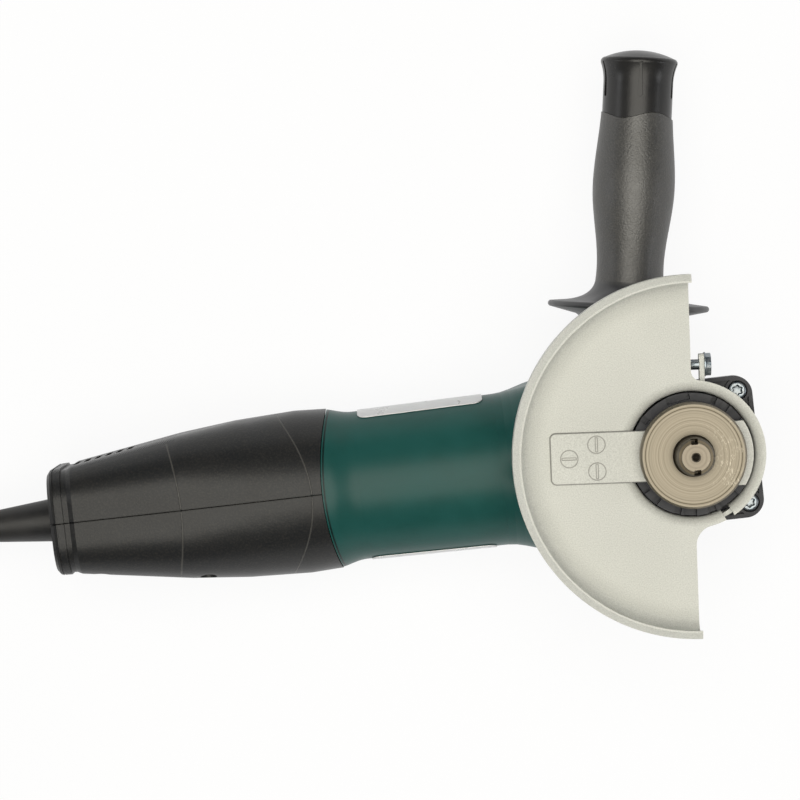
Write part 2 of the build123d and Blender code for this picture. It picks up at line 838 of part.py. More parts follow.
# laminated core with slots for the windings
with BuildPart() as armature_core:
    with BuildSketch(motor_plane(core_x)):
        Circle(core_r)
        Circle(shaft_r + 0.01, mode=Mode.SUBTRACT)
        with PolarLocations(core_r, armature_slots):
            Rectangle(6, 1.8, mode=Mode.SUBTRACT)
    extrude(amount=core_length)
save(armature_core, "armature_core")

with BuildPart() as armature_windings:
    for x, run in ((core_x, -winding_overhang), (core_x + core_length, winding_overhang)):
        with BuildSketch(motor_plane(x)):
            Circle(winding_r)
            Circle(shaft_r + 0.01, mode=Mode.SUBTRACT)
        extrude(amount=run, taper=12)
save(armature_windings, "armature_windings")

with BuildPart() as commutator:
    with BuildSketch(motor_plane(commutator_x)):
        Circle(commutator_r)
        Circle(shaft_r + 0.01, mode=Mode.SUBTRACT)
        with PolarLocations(commutator_r, commutator_bars):
            Rectangle(1.6, 0.6, mode=Mode.SUBTRACT)
    extrude(amount=commutator_length)
save(commutator, "commutator")

with BuildPart() as cooling_fan:
    with BuildSketch(motor_plane(fan_x)):
        Circle(fan_r)
        Circle(shaft_r + 0.01, mode=Mode.SUBTRACT)
    extrude(amount=1.5)
    with BuildSketch(motor_plane(fan_x)):
        Circle(fan_hub_r)
        Circle(shaft_r + 0.01, mode=Mode.SUBTRACT)
        with PolarLocations((fan_r + fan_hub_r) / 2 - 0.5, fan_blades):
            Rectangle(fan_r - fan_hub_r, 1.2, rotation=fan_blade_angle)
    extrude(amount=fan_length)
save(cooling_fan, "cooling_fan")

with BuildPart() as armature_bearing_inners:
    with BuildSketch(motor_plane(front_bearing_x)):
        Circle(front_race)
        Circle(shaft_front_r + 0.01, mode=Mode.SUBTRACT)
    extrude(amount=front_bearing_width)
    with BuildSketch(motor_plane(rear_bearing_x)):
        Circle(rear_race)
        Circle(shaft_rear_r + 0.01, mode=Mode.SUBTRACT)
    extrude(amount=rear_bearing_width)
save(armature_bearing_inners, "armature_bearing_inners")

with BuildPart() as front_bearing:
    with BuildSketch(motor_plane(front_bearing_x)):
        Circle(front_bearing_r)
        Circle(front_race + play, mode=Mode.SUBTRACT)
    extrude(amount=front_bearing_width)
save(front_bearing, "front_bearing")

with BuildPart() as rear_bearing:
    with BuildSketch(motor_plane(rear_bearing_x)):
        Circle(rear_bearing_r)
        Circle(rear_race + play, mode=Mode.SUBTRACT)
    extrude(amount=rear_bearing_width)
save(rear_bearing, "rear_bearing")

with BuildPart() as rear_bearing_bush:
    with BuildSketch(motor_plane(rear_bearing_x)):
        Circle(rear_bush_r)
        Circle(rear_bearing_r + 0.02, mode=Mode.SUBTRACT)
    extrude(amount=rear_bearing_width)
save(rear_bearing_bush, "rear_bearing_bush")

# ---------------------------------------------------------------- stator, brush gear, air baffle
with BuildPart() as stator_core:
    with BuildSketch(motor_plane(stator_x)):
        Circle(motor_bore - fit)
        Circle(stator_bore, mode=Mode.SUBTRACT)
        # flat that leaves room for the switch rod
        with Locations((0, -stator_flat - motor_bore / 2)):
            Rectangle(2 * motor_bore, motor_bore, mode=Mode.SUBTRACT)
        # windows for the two coils, on either side of each pole
        with BuildSketch(mode=Mode.PRIVATE) as window_ring:
            Circle(coil_outer + 0.3)
            Circle(coil_inner - 0.3, mode=Mode.SUBTRACT)
        with BuildSketch(mode=Mode.PRIVATE) as windows:
            add(window_ring.sketch)
            Rectangle(2 * motor_bore, 2 * coil_pole, mode=Mode.SUBTRACT)
            Rectangle(2 * coil_gap, 2 * motor_bore, mode=Mode.SUBTRACT)
        add(windows.sketch, mode=Mode.SUBTRACT)
    extrude(amount=stator_length)
save(stator_core, "stator_core")

with BuildPart() as field_windings:
    with BuildSketch(motor_plane(stator_x - coil_overhang)):
        Circle(coil_outer)
        Circle(coil_inner, mode=Mode.SUBTRACT)
        Rectangle(2 * coil_gap + 0.6, 2 * motor_bore, mode=Mode.SUBTRACT)
    extrude(amount=stator_length + 2 * coil_overhang)
    # each coil is open round its pole
    with BuildSketch(motor_plane(stator_x - 0.3)):
        Rectangle(2 * motor_bore, 2 * coil_pole + 0.6)
    extrude(amount=stator_length + 0.6, mode=Mode.SUBTRACT)
save(field_windings, "field_windings")

with BuildPart() as air_baffle:
    with BuildSketch(motor_plane(fan_bore_end)):
        Circle(motor_bore - fit)
        Circle(fan_r - 5, mode=Mode.SUBTRACT)
    extrude(amount=-baffle_t)
save(air_baffle, "air_baffle")

brush_outer = sqrt((motor_bore - fit) ** 2 - (brush_width / 2 + brush_wall) ** 2)
with BuildPart() as brush_holders:
    for side in (1, -1):
        with BuildSketch(Plane(origin=(brush_x, side * brush_outer, motor_z), z_dir=(0, -side, 0))):
            Rectangle(brush_width + 2 * brush_wall, brush_thickness + 2 * brush_wall)
        extrude(amount=brush_outer - commutator_r - 1.5)
        with BuildSketch(Plane(origin=(brush_x, side * (brush_outer - 1), motor_z), z_dir=(0, -side, 0))):
            Rectangle(brush_width + 2 * fit, brush_thickness + 2 * fit)
        extrude(amount=brush_outer, mode=Mode.SUBTRACT)
save(brush_holders, "brush_holders")

with BuildPart() as carbon_brushes:
    for side in (1, -1):
        with BuildSketch(Plane(origin=(brush_x, side * (commutator_r + 0.1), motor_z), z_dir=(0, side, 0))):
            Rectangle(brush_width, brush_thickness)
        extrude(amount=brush_length)
save(carbon_brushes, "carbon_brushes")

brush_back = commutator_r + 0.1 + brush_length
with BuildPart() as brush_springs:
    for side in (1, -1):
        with BuildSketch(Plane(origin=(brush_x, side * brush_back, motor_z), z_dir=(0, side, 0))):
            Circle(brush_spring_r)
            Circle(brush_spring_r - brush_spring_wire, mode=Mode.SUBTRACT)
        extrude(amount=brush_outer - 1 - brush_back)
save(brush_springs, "brush_springs")

# ---------------------------------------------------------------- rear handle shells
# sections of the rear handle, front to back: x, half width, height above and below the axis, corner radius
rear_stations = [
    (rear_joint_x + 9, barrel_end_r, 29.8, 29.8, 29.5),
    (rear_front_x, rear_half_front, rear_top - 0.4, rear_bottom - 1.4, 29.8),
    (rear_mid_x, rear_half_mid, rear_top, rear_bottom - 0.6, 26.0),
    (rear_bend_x, rear_half_bend, rear_top, rear_bottom, 20.0),
    (rear_end_x + rear_bands, rear_half_back, rear_top - 1.5, rear_bottom, 13.0),
    (rear_end_x, rear_half_back, rear_top - 1.5, rear_bottom, 13.0),
]
# ribs and grooves round the end: distance from the end face, inset from the panel
end_bands = [
    (rear_bands - 1.8, 0.9),
    (5.3, 1.0),
    (5.2, 0.2),
    (2.7, 0.3),
    (2.6, 0.3 + band_groove),
    (2.2, 0.3 + band_groove),
    (2.1, 0.3),
    (1.2, 0.6),
    (0, 2.2),
]


# section of the rear handle at any x: half width, top, bottom, corner
def rear_size(x):
    for front, back in zip(rear_stations, rear_stations[1:]):
        if x >= back[0]:
            break
    share = (front[0] - x) / (front[0] - back[0])
    return [a + (b - a) * share for a, b in zip(front[1:], back[1:])]


bulkhead_back = rear_bearing_x - 1
end_wall_x = rear_end_x + 3
with BuildPart() as rear_solid:
    outer = [(station[0], 0) for station in rear_stations[:-1]]
    outer += [(rear_end_x + distance, inset) for distance, inset in end_bands]
    for x, inset in outer:
        half, top, bottom, corner = rear_size(x)
        with BuildSketch(motor_plane(x)):
            with Locations((0, (top - bottom) / 2)):
                RectangleRounded(2 * (half - inset), top + bottom - 2 * inset, corner - inset)
    loft(ruled=True)

with BuildPart() as rear_cavity:
    for x in (bulkhead_back, rear_mid_x, rear_bend_x, rear_end_x + rear_bands, end_wall_x):
        half, top, bottom, corner = rear_size(x)
        with BuildSketch(motor_plane(x)):
            with Locations((0, (top - bottom) / 2)):
                RectangleRounded(2 * (half - rear_wall), top + bottom - 2 * rear_wall, corner - rear_wall)
    loft(ruled=True)

# screw bosses and the ribs that carry the cord clamp, trimmed to the outside
with BuildPart() as rear_ribs:
    with BuildSketch(Plane.XZ):
        with Locations([(x, motor_z + z) for x, z in shell_screws]):
            Circle(shell_boss_r)
    extrude(amount=collar_half, both=True)
    with Locations((clamp_x, 0, motor_z)):
        Box(cord_clamp_length, 2 * rear_half_front, 10)
        Box(cord_clamp_length, cord_clamp_width + 2 * fit, 10, mode=Mode.SUBTRACT)
    add(rear_solid.part, mode=Mode.INTERSECT)

for side, name in ((1, "rear_shell_right"), (-1, "rear_shell_left")):
    with BuildPart() as rear_shell:
        add(rear_solid.part)
        add(rear_cavity.part, mode=Mode.SUBTRACT)
        add(rear_ribs.part)
        # curved front edge, a parting line behind the motor housing
        with BuildSketch(Plane.XY.offset(motor_z)):
            with Locations((rear_joint_x + rear_curve_r, 0)):
                Circle(rear_curve_r + seam)
        extrude(amount=collar_half + 5, both=True, mode=Mode.SUBTRACT)
        # bore round the spigot, rear bearing seat, air windows and the way of the switch rod
        with BuildSketch(motor_plane(spigot_end_x - fit)):
            Circle(spigot_r + fit)
        extrude(amount=30, mode=Mode.SUBTRACT)
        with BuildSketch(motor_plane(bulkhead_back)):
            Circle(rear_bush_r + fit)
            with PolarLocations(air_window_reach, 4, start_angle=45):
                Circle(air_window_r)
            with Locations((0, -rod_drop)):
                Rectangle(rod_width + 2 * play, rod_t + 2 * play)
                Circle(rod_round_r + play)
        extrude(amount=spigot_end_x - bulkhead_back, mode=Mode.SUBTRACT)
        # mouth for the cord sleeve
        with BuildSketch(motor_plane(rear_end_x)):
            Circle(sleeve_root_r + fit)
        extrude(amount=end_wall_x - rear_end_x, mode=Mode.SUBTRACT)
        # air intake slots in the side walls
        with BuildSketch(Plane.XZ.offset(-side * rear_half_front)):
            with Locations((intake_x, motor_z)):
                with GridLocations(intake_pitch, 0, intake_slots, 1):
                    SlotOverall(intake_height, intake_width, rotation=90)
        extrude(amount=side * (rear_half_front - rear_half_back + 8), mode=Mode.SUBTRACT)
        # screws go in from the left
        with BuildSketch(Plane.XZ):
            with Locations([(x, motor_z + z) for x, z in shell_screws]):
                Circle(shell_screw_r + (0.05 if side > 0 else 0.2))
        extrude(amount=-side * shell_screw_reach, mode=Mode.SUBTRACT)
        if side < 0:
            with BuildSketch(Plane.XZ.offset(shell_head_y)):
                with Locations([(x, motor_z + z) for x, z in shell_screws]):
                    Circle(shell_head_r + 0.3)
            extrude(amount=collar_half, mode=Mode.SUBTRACT)
        split(bisect_by=Plane.XZ.offset(-side * seam / 2), keep=Keep.BOTTOM if side > 0 else Keep.TOP)
    save(rear_shell, name)

with BuildPart() as shell_screw_set:
    with BuildSketch(Plane.XZ.offset(shell_head_y)):
        with Locations([(x, motor_z + z) for x, z in shell_screws]):
            Circle(shell_head_r)
    extrude(amount=2.2)
    with BuildSketch(Plane.XZ.offset(shell_head_y)):
        with Locations([(x, motor_z + z) for x, z in shell_screws]):
            Circle(shell_screw_r)
    extrude(amount=-2 * shell_head_y)
    with BuildSketch(Plane.XZ.offset(shell_head_y + 2.2)):
        with Locations([(x, motor_z + z) for x, z in shell_screws]):
            RegularPolygon(1.3, 6)
    extrude(amount=-1.2, mode=Mode.SUBTRACT)
save(shell_screw_set, "rear_shell_screws")

# ---------------------------------------------------------------- slide switch
with BuildPart() as switch_slider:
    with BuildSketch(motor_plane(knob_x)):
        Circle(knob_reach)
        Circle(barrel_r + 0.4, mode=Mode.SUBTRACT)
        depth = 1.2 * knob_reach
        wedge = depth * tan(radians(knob_angle / 2))
        Polygon((0, 0), (-wedge, -depth), (wedge, -depth), align=None, mode=Mode.INTERSECT)
    extrude(amount=knob_length)
    # finger grooves
    with BuildSketch(Plane.XZ):
        with Locations((knob_x + knob_length / 2, motor_z - knob_reach)):
            with GridLocations(3.6, 0, 5, 1):
                Rectangle(1.6, 1.4)
    extrude(amount=knob_reach, both=True, mode=Mode.SUBTRACT)
    # neck through the slot of the housing down to the rod
    with BuildSketch(Plane.XY.offset(motor_z - barrel_r - 1)):
        with Locations((knob_x + knob_length / 2, 0)):
            Rectangle(knob_neck, knob_neck_width)
    extrude(amount=barrel_r + 1 - rod_drop - rod_t / 2)
save(switch_slider, "switch_slider")

with BuildPart() as switch_rod:
    with BuildSketch(Plane.XY.offset(motor_z - rod_drop)):
        with Locations(((rod_front_x + bulkhead_back) / 2, 0)):
            Rectangle(rod_front_x - bulkhead_back, rod_width)
    extrude(amount=rod_t / 2, both=True)
    for start, run, radius in (
        (bulkhead_back, rod_end_x - bulkhead_back, rod_round_r),
        (rod_collar_x, -1.5, rod_collar_r),
    ):
        with BuildSketch(motor_plane(start)):
            with Locations((0, -rod_drop)):
                Circle(radius)
        extrude(amount=run)
save(switch_rod, "switch_rod")

with BuildPart() as switch_spring:
    with BuildSketch(motor_plane(bulkhead_back)):
        with Locations((0, -rod_drop)):
            Circle(rod_collar_r - 0.2)
            Circle(rod_round_r + play, mode=Mode.SUBTRACT)
    extrude(amount=rod_collar_x - bulkhead_back)
save(switch_spring, "switch_spring")

switch_floor = motor_z - rear_bottom + rear_wall + play
switch_front = rod_end_x - play
with BuildPart() as motor_switch:
    with BuildSketch(Plane.XY.offset(switch_floor)):
        with Locations((switch_front - 1.5 - switch_length / 2, 0)):
            Rectangle(switch_length, switch_width)
    extrude(amount=switch_height)
    fillet(motor_switch.edges().filter_by(Axis.Z), 1)
    with BuildSketch(motor_plane(switch_front)):
        with Locations((0, -rod_drop)):
            Rectangle(5, 3)
    extrude(amount=-2)
save(motor_switch, "motor_switch")

with BuildPart() as capacitor:
    with Locations((bulkhead_back - fit - capacitor_length / 2, 0, motor_z + capacitor_rise)):
        Box(capacitor_length, 18, 10)
    fillet(capacitor.edges().filter_by(Axis.Y), 1.5)
save(capacitor, "capacitor")

# ---------------------------------------------------------------- cord entry
with BuildPart() as cord_sleeve:
    with BuildSketch(axial_plane):
        with BuildLine():
            Polyline(
                (end_wall_x + sleeve_collar_t, cord_r + fit),
                (end_wall_x + sleeve_collar_t, sleeve_collar_r),
                (end_wall_x, sleeve_collar_r),
                (end_wall_x, sleeve_root_r),
                (rear_end_x, sleeve_root_r),
                (rear_end_x - sleeve_length / 2, (sleeve_root_r + sleeve_tip_r) / 2 - 0.6),
                (rear_end_x - sleeve_length, sleeve_tip_r),
                (rear_end_x - sleeve_length, cord_r + fit),
                close=True,
            )
        make_face()
    revolve(axis=motor_axis)
save(cord_sleeve, "cord_sleeve")

lead_end = clamp_x + cord_clamp_length / 2 + 8
with BuildPart() as supply_lead:
    with BuildSketch(motor_plane(lead_end)):
        Circle(cord_r)
    extrude(amount=rear_end_x - sleeve_length - lead_end)
    # two wires to the switch
    for y in (-1.6, 1.6):
        foot = Vector(lead_end, y, motor_z)
        head = Vector(switch_front - switch_length + 4, y, switch_floor + switch_height)
        with BuildSketch(Plane(origin=foot, z_dir=head - foot)):
            Circle(1.1)
        extrude(amount=(head - foot).length - 1.4)
save(supply_lead, "supply_lead")

with BuildPart() as cord_clamp:
    with Locations((clamp_x, 0, motor_z)):
        Box(cord_clamp_length, cord_clamp_width, 14)
        Cylinder(cord_r + fit, cord_clamp_length, rotation=(0, 90, 0), mode=Mode.SUBTRACT)
save(cord_clamp, "cord_clamp")

# ---------------------------------------------------------------- guard, clamped round the neck
guard_plane = Plane.XY.rotated((0, 0, guard_turn))


# plane across the clamp screw, in the turned frame of the guard: local x is outward, local y is +Z
def guard_yz(x):
    turn = radians(guard_turn)
    across = Vector(cos(turn), sin(turn), 0)
    outward = Vector(-sin(turn), cos(turn), 0)
    return Plane(origin=across * x, x_dir=outward, z_dir=across)


roll_r = collar_r + collar_roll


# true for the corners where the straight cut of the guard meets the round collar
def on_collar(vertex):
    return abs(sqrt(vertex.X**2 + vertex.Y**2) - roll_r) < 0.1


with BuildPart() as guard_shell:
    # section of the pressed sheet: collar, rolled shoulder, flat, corner, skirt and turned-in lip
    with BuildSketch(Plane.XZ):
        inner_skirt = guard_r - guard_t
        with BuildLine():
            Line((collar_r, collar_bottom_z), (collar_r, guard_z - collar_roll))
            RadiusArc((collar_r, guard_z - collar_roll), (roll_r, guard_z), collar_roll)
            Line((roll_r, guard_z), (inner_skirt - guard_corner, guard_z))
            RadiusArc((inner_skirt - guard_corner, guard_z), (inner_skirt, guard_z + guard_corner), -guard_corner)
            Polyline(
                (inner_skirt, guard_z + guard_corner),
                (inner_skirt, guard_rim_z - guard_t - 0.6),
                (inner_skirt - 0.6, guard_rim_z - guard_t),
                (guard_r - guard_lip, guard_rim_z - guard_t),
                (guard_r - guard_lip, guard_rim_z),
                (guard_r - guard_lip + lip_crest, guard_rim_z),
                (guard_r, guard_rim_z - lip_slope),
                (guard_r, guard_z + guard_corner),
            )
            RadiusArc(
                (guard_r, guard_z + guard_corner),
                (inner_skirt - guard_corner, guard_z - guard_t),
                guard_corner + guard_t,
            )
            Line((inner_skirt - guard_corner, guard_z - guard_t), (roll_r, guard_z - guard_t))
            RadiusArc(
                (roll_r, guard_z - guard_t),
                (collar_r + guard_t, guard_z - collar_roll),
                -(collar_roll - guard_t),
            )
            Line((collar_r + guard_t, guard_z - collar_roll), (collar_r + guard_t, collar_bottom_z))
            Line((collar_r + guard_t, collar_bottom_z), (collar_r, collar_bottom_z))
        make_face()
    revolve(axis=Axis.Z)
    # outline from above: half of the disc, running into the round collar by a fillet each side
    with BuildSketch(guard_plane.offset(collar_bottom_z - 1)) as outline:
        with Locations((guard_cut - guard_r, 0)):
            Rectangle(2 * guard_r, 2 * guard_r + 10)
        Circle(roll_r)
        fillet(outline.vertices().filter_by(on_collar).sort_by(Axis.Y)[-1], guard_fillet_top)
        fillet(outline.vertices().filter_by(on_collar).sort_by(Axis.Y)[0], guard_fillet_bottom)
    extrude(amount=guard_rim_z - collar_bottom_z + 2, mode=Mode.INTERSECT)
    # slot that lets the collar close when the band is tightened
    with BuildSketch(guard_plane.offset(collar_bottom_z)):
        with PolarLocations(collar_r + 3, 1, start_angle=collar_slot_angle):
            Rectangle(9, collar_slot)
    extrude(amount=guard_z - collar_bottom_z, mode=Mode.SUBTRACT)
save(guard_shell, "guard_shell")

# bridge across the opening, clinched to the guard
clinches = [(-strip_reach + 6.9, 0), (-strip_reach + 17.2, 5), (-strip_reach + 17.2, -5)]
with BuildPart() as guard_strip:
    with BuildSketch(guard_plane.offset(guard_z)) as strip_outline:
        with Locations((-strip_reach / 2, 0)):
            Rectangle(strip_reach, strip_width)
        fillet(strip_outline.vertices().group_by(Axis.X)[0], 2)
        with BuildSketch(mode=Mode.PRIVATE) as tail:
            Circle(strip_tail_r)
            with Locations((strip_tail_r / 2, 0)):
                Rectangle(strip_tail_r, strip_tail_width, mode=Mode.INTERSECT)
        add(tail.sketch)
        Circle(strip_ring_r)
        Circle(flange_boss_r + strip_clearance, mode=Mode.SUBTRACT)
    extrude(amount=strip_t)
    # pressed rings and bars of the clinch joints
    with BuildSketch(guard_plane.offset(guard_z + strip_t)):
        with Locations(clinches):
            Circle(clinch_r)
            Circle(clinch_r - 0.35, mode=Mode.SUBTRACT)
        with Locations(clinches[1:]):
            Rectangle(0.9, 2 * clinch_r - 1)
        with Locations(clinches[0]):
            Rectangle(2 * clinch_r - 1, 0.9)
    extrude(amount=-0.3, mode=Mode.SUBTRACT)
save(guard_strip, "guard_strip")

band_r = collar_r + guard_t + 0.1
with BuildPart() as clamp_band:
    with BuildSketch(guard_plane.offset(band_z)):
        Circle(band_r + band_t)
        Circle(band_r, mode=Mode.SUBTRACT)
        with Locations((0, band_r)):
            Rectangle(ear_gap, 10, mode=Mode.SUBTRACT)
        for side in (1, -1):
            with Locations((side * (ear_gap + ear_t) / 2, (ear_reach + band_r + 0.2) / 2)):
                Rectangle(ear_t, ear_reach - band_r - 0.2)
    extrude(amount=band_height)
    with BuildSketch(guard_yz(0)):
        with Locations((clamp_y, band_z + band_height / 2)):
            Circle(clamp_screw_r + 0.15)
    extrude(amount=ear_gap + 2 * ear_t, both=True, mode=Mode.SUBTRACT)
    ends = clamp_band.edges().filter_by(lambda e: abs(e.length - ear_t) < 0.01)
    fillet(ends.filter_by(lambda e: e.center().Y > clamp_y), 1.6)
save(clamp_band, "clamp_band")

ear_face = ear_gap / 2 + ear_t
with BuildPart() as clamp_screw:
    for start, run, radius in (
        (ear_face, clamp_washer_t, clamp_head_r + 0.3),
        (ear_face + clamp_washer_t, clamp_head_t, clamp_head_r),
        (ear_face, -clamp_screw_length, clamp_screw_r),
    ):
        with BuildSketch(guard_yz(start)):
            with Locations((clamp_y, band_z + band_height / 2)):
                Circle(radius)
        extrude(amount=run)
    with BuildSketch(guard_yz(ear_face + clamp_washer_t + clamp_head_t)):
        with Locations((clamp_y, band_z + band_height / 2)):
            Rectangle(6, 1)
            Rectangle(1, 6)
    extrude(amount=-1, mode=Mode.SUBTRACT)
save(clamp_screw, "clamp_screw")

with BuildPart() as nut:
    with BuildSketch(guard_yz(-ear_face)):
        with Locations((clamp_y, band_z + band_height / 2)):
            Rectangle(clamp_nut, clamp_nut)
            Circle(clamp_screw_r + 0.01, mode=Mode.SUBTRACT)
    extrude(amount=-3.2)
save(nut, "clamp_nut")

# ---------------------------------------------------------------- side handle
seat_point = Vector(handle_x, handle_y, handle_z)
handle_line = Axis(seat_point, handle_axis)
stud_r = handle_thread_r - 0.1


# plane through the handle's axis that faces out at an angle: local y runs out along the handle from its seat
def handle_plane(angle):
    across = Vector(handle_axis.Y, -handle_axis.X, 0)
    outward = Vector(0, 0, cos(radians(angle))) + across * sin(radians(angle))
    return Plane(origin=seat_point, x_dir=handle_axis.cross(outward), z_dir=outward)


handle_top = handle_plane(0)
handle_section = handle_plane(45)


# wavy joint between the soft grip and the cap, as the outline of everything beyond it
def beyond_wave(shift):
    quarter = handle_top_r / 2
    rise = wave_height
    return [
        (-4 * quarter, handle_top_s + shift),
        (-2 * quarter, handle_top_s + rise + shift),
        (-quarter, handle_top_s - rise + shift),
        (0, handle_top_s + shift),
        (quarter, handle_top_s + rise + shift),
        (2 * quarter, handle_top_s - rise + shift),
        (4 * quarter, handle_top_s + shift),
    ]


flange_top = handle_flange_s + handle_flange_t / 2
with BuildPart() as handle_grip:
    with BuildSketch(handle_section):
        with BuildLine():
            Polyline(
                (stud_r + fit, 0),
                (handle_base_r - 1, 0),
                (handle_base_r, 1),
                (handle_base_r + 1.5, 12),
                (handle_base_r + 8, 16.5),
                (handle_flange_r - 1, handle_flange_s - handle_flange_t / 2),
            )
            RadiusArc(
                (handle_flange_r - 1, handle_flange_s - handle_flange_t / 2),
                (handle_flange_r - 1, flange_top),
                -handle_flange_t * 0.55,
            )
            Line((handle_flange_r - 1, flange_top), (handle_flange_r - 6, flange_top + 0.5))
            flare_line = Spline(
                (handle_flange_r - 6, flange_top + 0.5),
                (19.5, flange_top + 1.6),
                (15.4, flange_top + 3.9),
                (handle_neck_r + 0.4, flange_top + 8),
            )
            grip_line = Spline(
                flare_line @ 1,
                (handle_neck_r + 0.1, handle_neck_s + 2),
                (handle_belly_r, handle_belly_s),
                (handle_top_r, handle_top_s),
                (handle_top_r - 0.1, handle_top_s + 2 * wave_height),
            )
            Polyline(
                grip_line @ 1,
                (0, handle_top_s + 2 * wave_height),
                (0, stud_end),
                (stud_r + fit, stud_end),
                (stud_r + fit, 0),
            )
        make_face()
    revolve(axis=handle_line)
    with BuildSketch(handle_top):
        with BuildLine():
            wave = Spline(*beyond_wave(0))
            Polyline(wave @ 1, (wave @ 1) + (0, 20), (wave @ 0) + (0, 20), wave @ 0)
        make_face()
    extrude(amount=handle_flange_r, both=True, mode=Mode.SUBTRACT)
save(handle_grip, "handle_grip")

with BuildPart() as handle_cap:
    with BuildSketch(handle_section):
        with BuildLine():
            Line((0, handle_top_s - 3), (cap_r, handle_top_s - 3))
            Line((cap_r, handle_top_s - 3), (cap_r, cap_rim_s - 8))
            rim_low = (cap_rim_r, cap_rim_s - 0.6)
            rim_high = (cap_rim_r - 1.4, cap_rim_s + 1.6)
            ThreePointArc((cap_r, cap_rim_s - 8), (cap_r + 0.35, cap_rim_s - 4), rim_low)
            ThreePointArc(rim_low, (cap_rim_r - 0.25, cap_rim_s + 0.9), rim_high)
            dome_rise = cap_top_s - rim_high[1]
            dome_r = (rim_high[0] ** 2 + dome_rise**2) / (2 * dome_rise)
            CenterArc((0, cap_top_s - dome_r), dome_r, 90, -degrees(asin(rim_high[0] / dome_r)))
            Line((0, cap_top_s), (0, handle_top_s - 3))
        make_face()
    revolve(axis=handle_line)
    with BuildSketch(handle_top):
        with BuildLine():
            wave = Spline(*beyond_wave(0.15))
            Polyline(wave @ 1, (wave @ 1) + (0, 30), (wave @ 0) + (0, 30), wave @ 0)
        make_face()
    extrude(amount=handle_flange_r, both=True, mode=Mode.INTERSECT)
    # teardrop hollows, narrow at the rim
    for turn in range(cap_slots):
        with BuildSketch(handle_plane(360 / cap_slots * turn).offset(cap_r - cap_slot_depth)):
            with Locations((0, cap_slot_s)):
                Circle(cap_slot_width / 2)
            Polygon(
                (-cap_slot_width / 2, cap_slot_s + 0.3),
                (cap_slot_width / 2, cap_slot_s + 0.3),
                (0.5, cap_rim_s - 0.2),
                (-0.5, cap_rim_s - 0.2),
                align=None,
            )
        extrude(amount=4, mode=Mode.SUBTRACT)
save(handle_cap, "handle_cap")

with BuildPart() as handle_stud:
    with BuildSketch(handle_seat(1, handle_hole_depth - 1)):
        Circle(stud_r)
    extrude(amount=stud_length)
save(handle_stud, "handle_stud")

# ---------------------------------------------------------------- mains cord, coil and plug
cord_d = 2 * cord_r
floor_z = rest_z + cord_r
sleeve_tip_x = rear_end_x - sleeve_length
# straight out of the sleeve and down into the top layer of the coil
coil_top = rest_z + coil_high * cord_d
cord_route = [
    (sleeve_tip_x, 0, motor_z),
    (sleeve_tip_x - 19.5, 0, motor_z),
    (sleeve_tip_x - 39.5, -2.5, motor_z - 2),
    (sleeve_tip_x - 59.5, -7, motor_z - 5.5),
    (sleeve_tip_x - 79, -13, coil_top - cord_r),
]


# tube radii: 0.45 of the shorter run over the tangent of half the turn
def bend_radii(points):
    radii = []
    for before, here, after in zip(points, points[1:], points[2:]):
        run_in = Vector(*here) - Vector(*before)
        run_out = Vector(*after) - Vector(*here)
        turn = radians(run_in.get_angle(run_out))
        radii.append(0.45 * min(run_in.length, run_out.length) / tan(turn / 2))
    return radii


# round coil of several turns side by side and on each other
coil_half = coil_wide * cord_d / 2 + 0.3
with BuildPart() as cord_coil:
    with BuildSketch(Plane.XZ):
        with Locations((coil_r, (rest_z + coil_top) / 2)):
            RectangleRounded(2 * coil_half, coil_top - rest_z, cord_r * 0.8)
    revolve(axis=Axis.Z)
cord_coil.part.position = (coil_x, coil_y, 0)
save(cord_coil, "cord_coil")


# the tail leaves an outer turn and the plug lies on the surface beside the coil
tail_x = coil_x - coil_r - 0.45 * cord_d
plug_axis_z = rest_z + plug_t / 2
tail_route = [
    (tail_x, coil_y, floor_z),
    (tail_x, coil_y - 15, floor_z),
    (tail_x + 3.3, coil_y - 31, floor_z + 1),
    (tail_x + 9.3, coil_y - 47, plug_axis_z),
    (tail_x + 16.6, coil_y - 61, plug_axis_z),
]

for name, points in (("mains_cord", cord_route), ("cord_tail", tail_route)):
    radii = bend_radii(points)
    print(name, "bend radii", [round(radius, 1) for radius in radii])
    with BuildPart() as cord:
        with BuildLine() as path:
            FilletPolyline(*points, radius=radii)
        with BuildSketch(Plane(origin=path.line @ 0, z_dir=path.line % 0)):
            Circle(cord_r)
        sweep(path=path.line)
    length = path.wires()[0].length
    share = cord.part.volume / (pi * cord_r**2 * length)
    print(name, "length", round(length, 1), "volume over section times length", round(share, 4))
    save(cord, name)

plug_way = Vector(*tail_route[-1]) - Vector(*tail_route[-2])
plug_way = Vector(plug_way.X, plug_way.Y, 0).normalized()
plug_entry = Vector(*tail_route[-1])


# plane across the plug at a distance from the cord entry: local x is across, local y is up
def plug_plane(distance):
    across = Vector(-plug_way.Y, plug_way.X, 0)
    return Plane(origin=plug_entry + plug_way * distance, x_dir=across, z_dir=plug_way)


with BuildPart() as plug_body:
    for distance, width, thick in plug_stations:
        with BuildSketch(plug_plane(distance)):
            RectangleRounded(width, thick, thick / 2 - 0.2)
    loft(ruled=True)
save(plug_body, "plug_body")

with BuildPart() as plug_pins:
    with BuildSketch(plug_plane(plug_stations[-1][0])):
        with GridLocations(plug_pin_pitch, 0, 2, 1):
            Circle(plug_pin_r)
    extrude(amount=plug_pin_length)
save(plug_pins, "plug_pins")
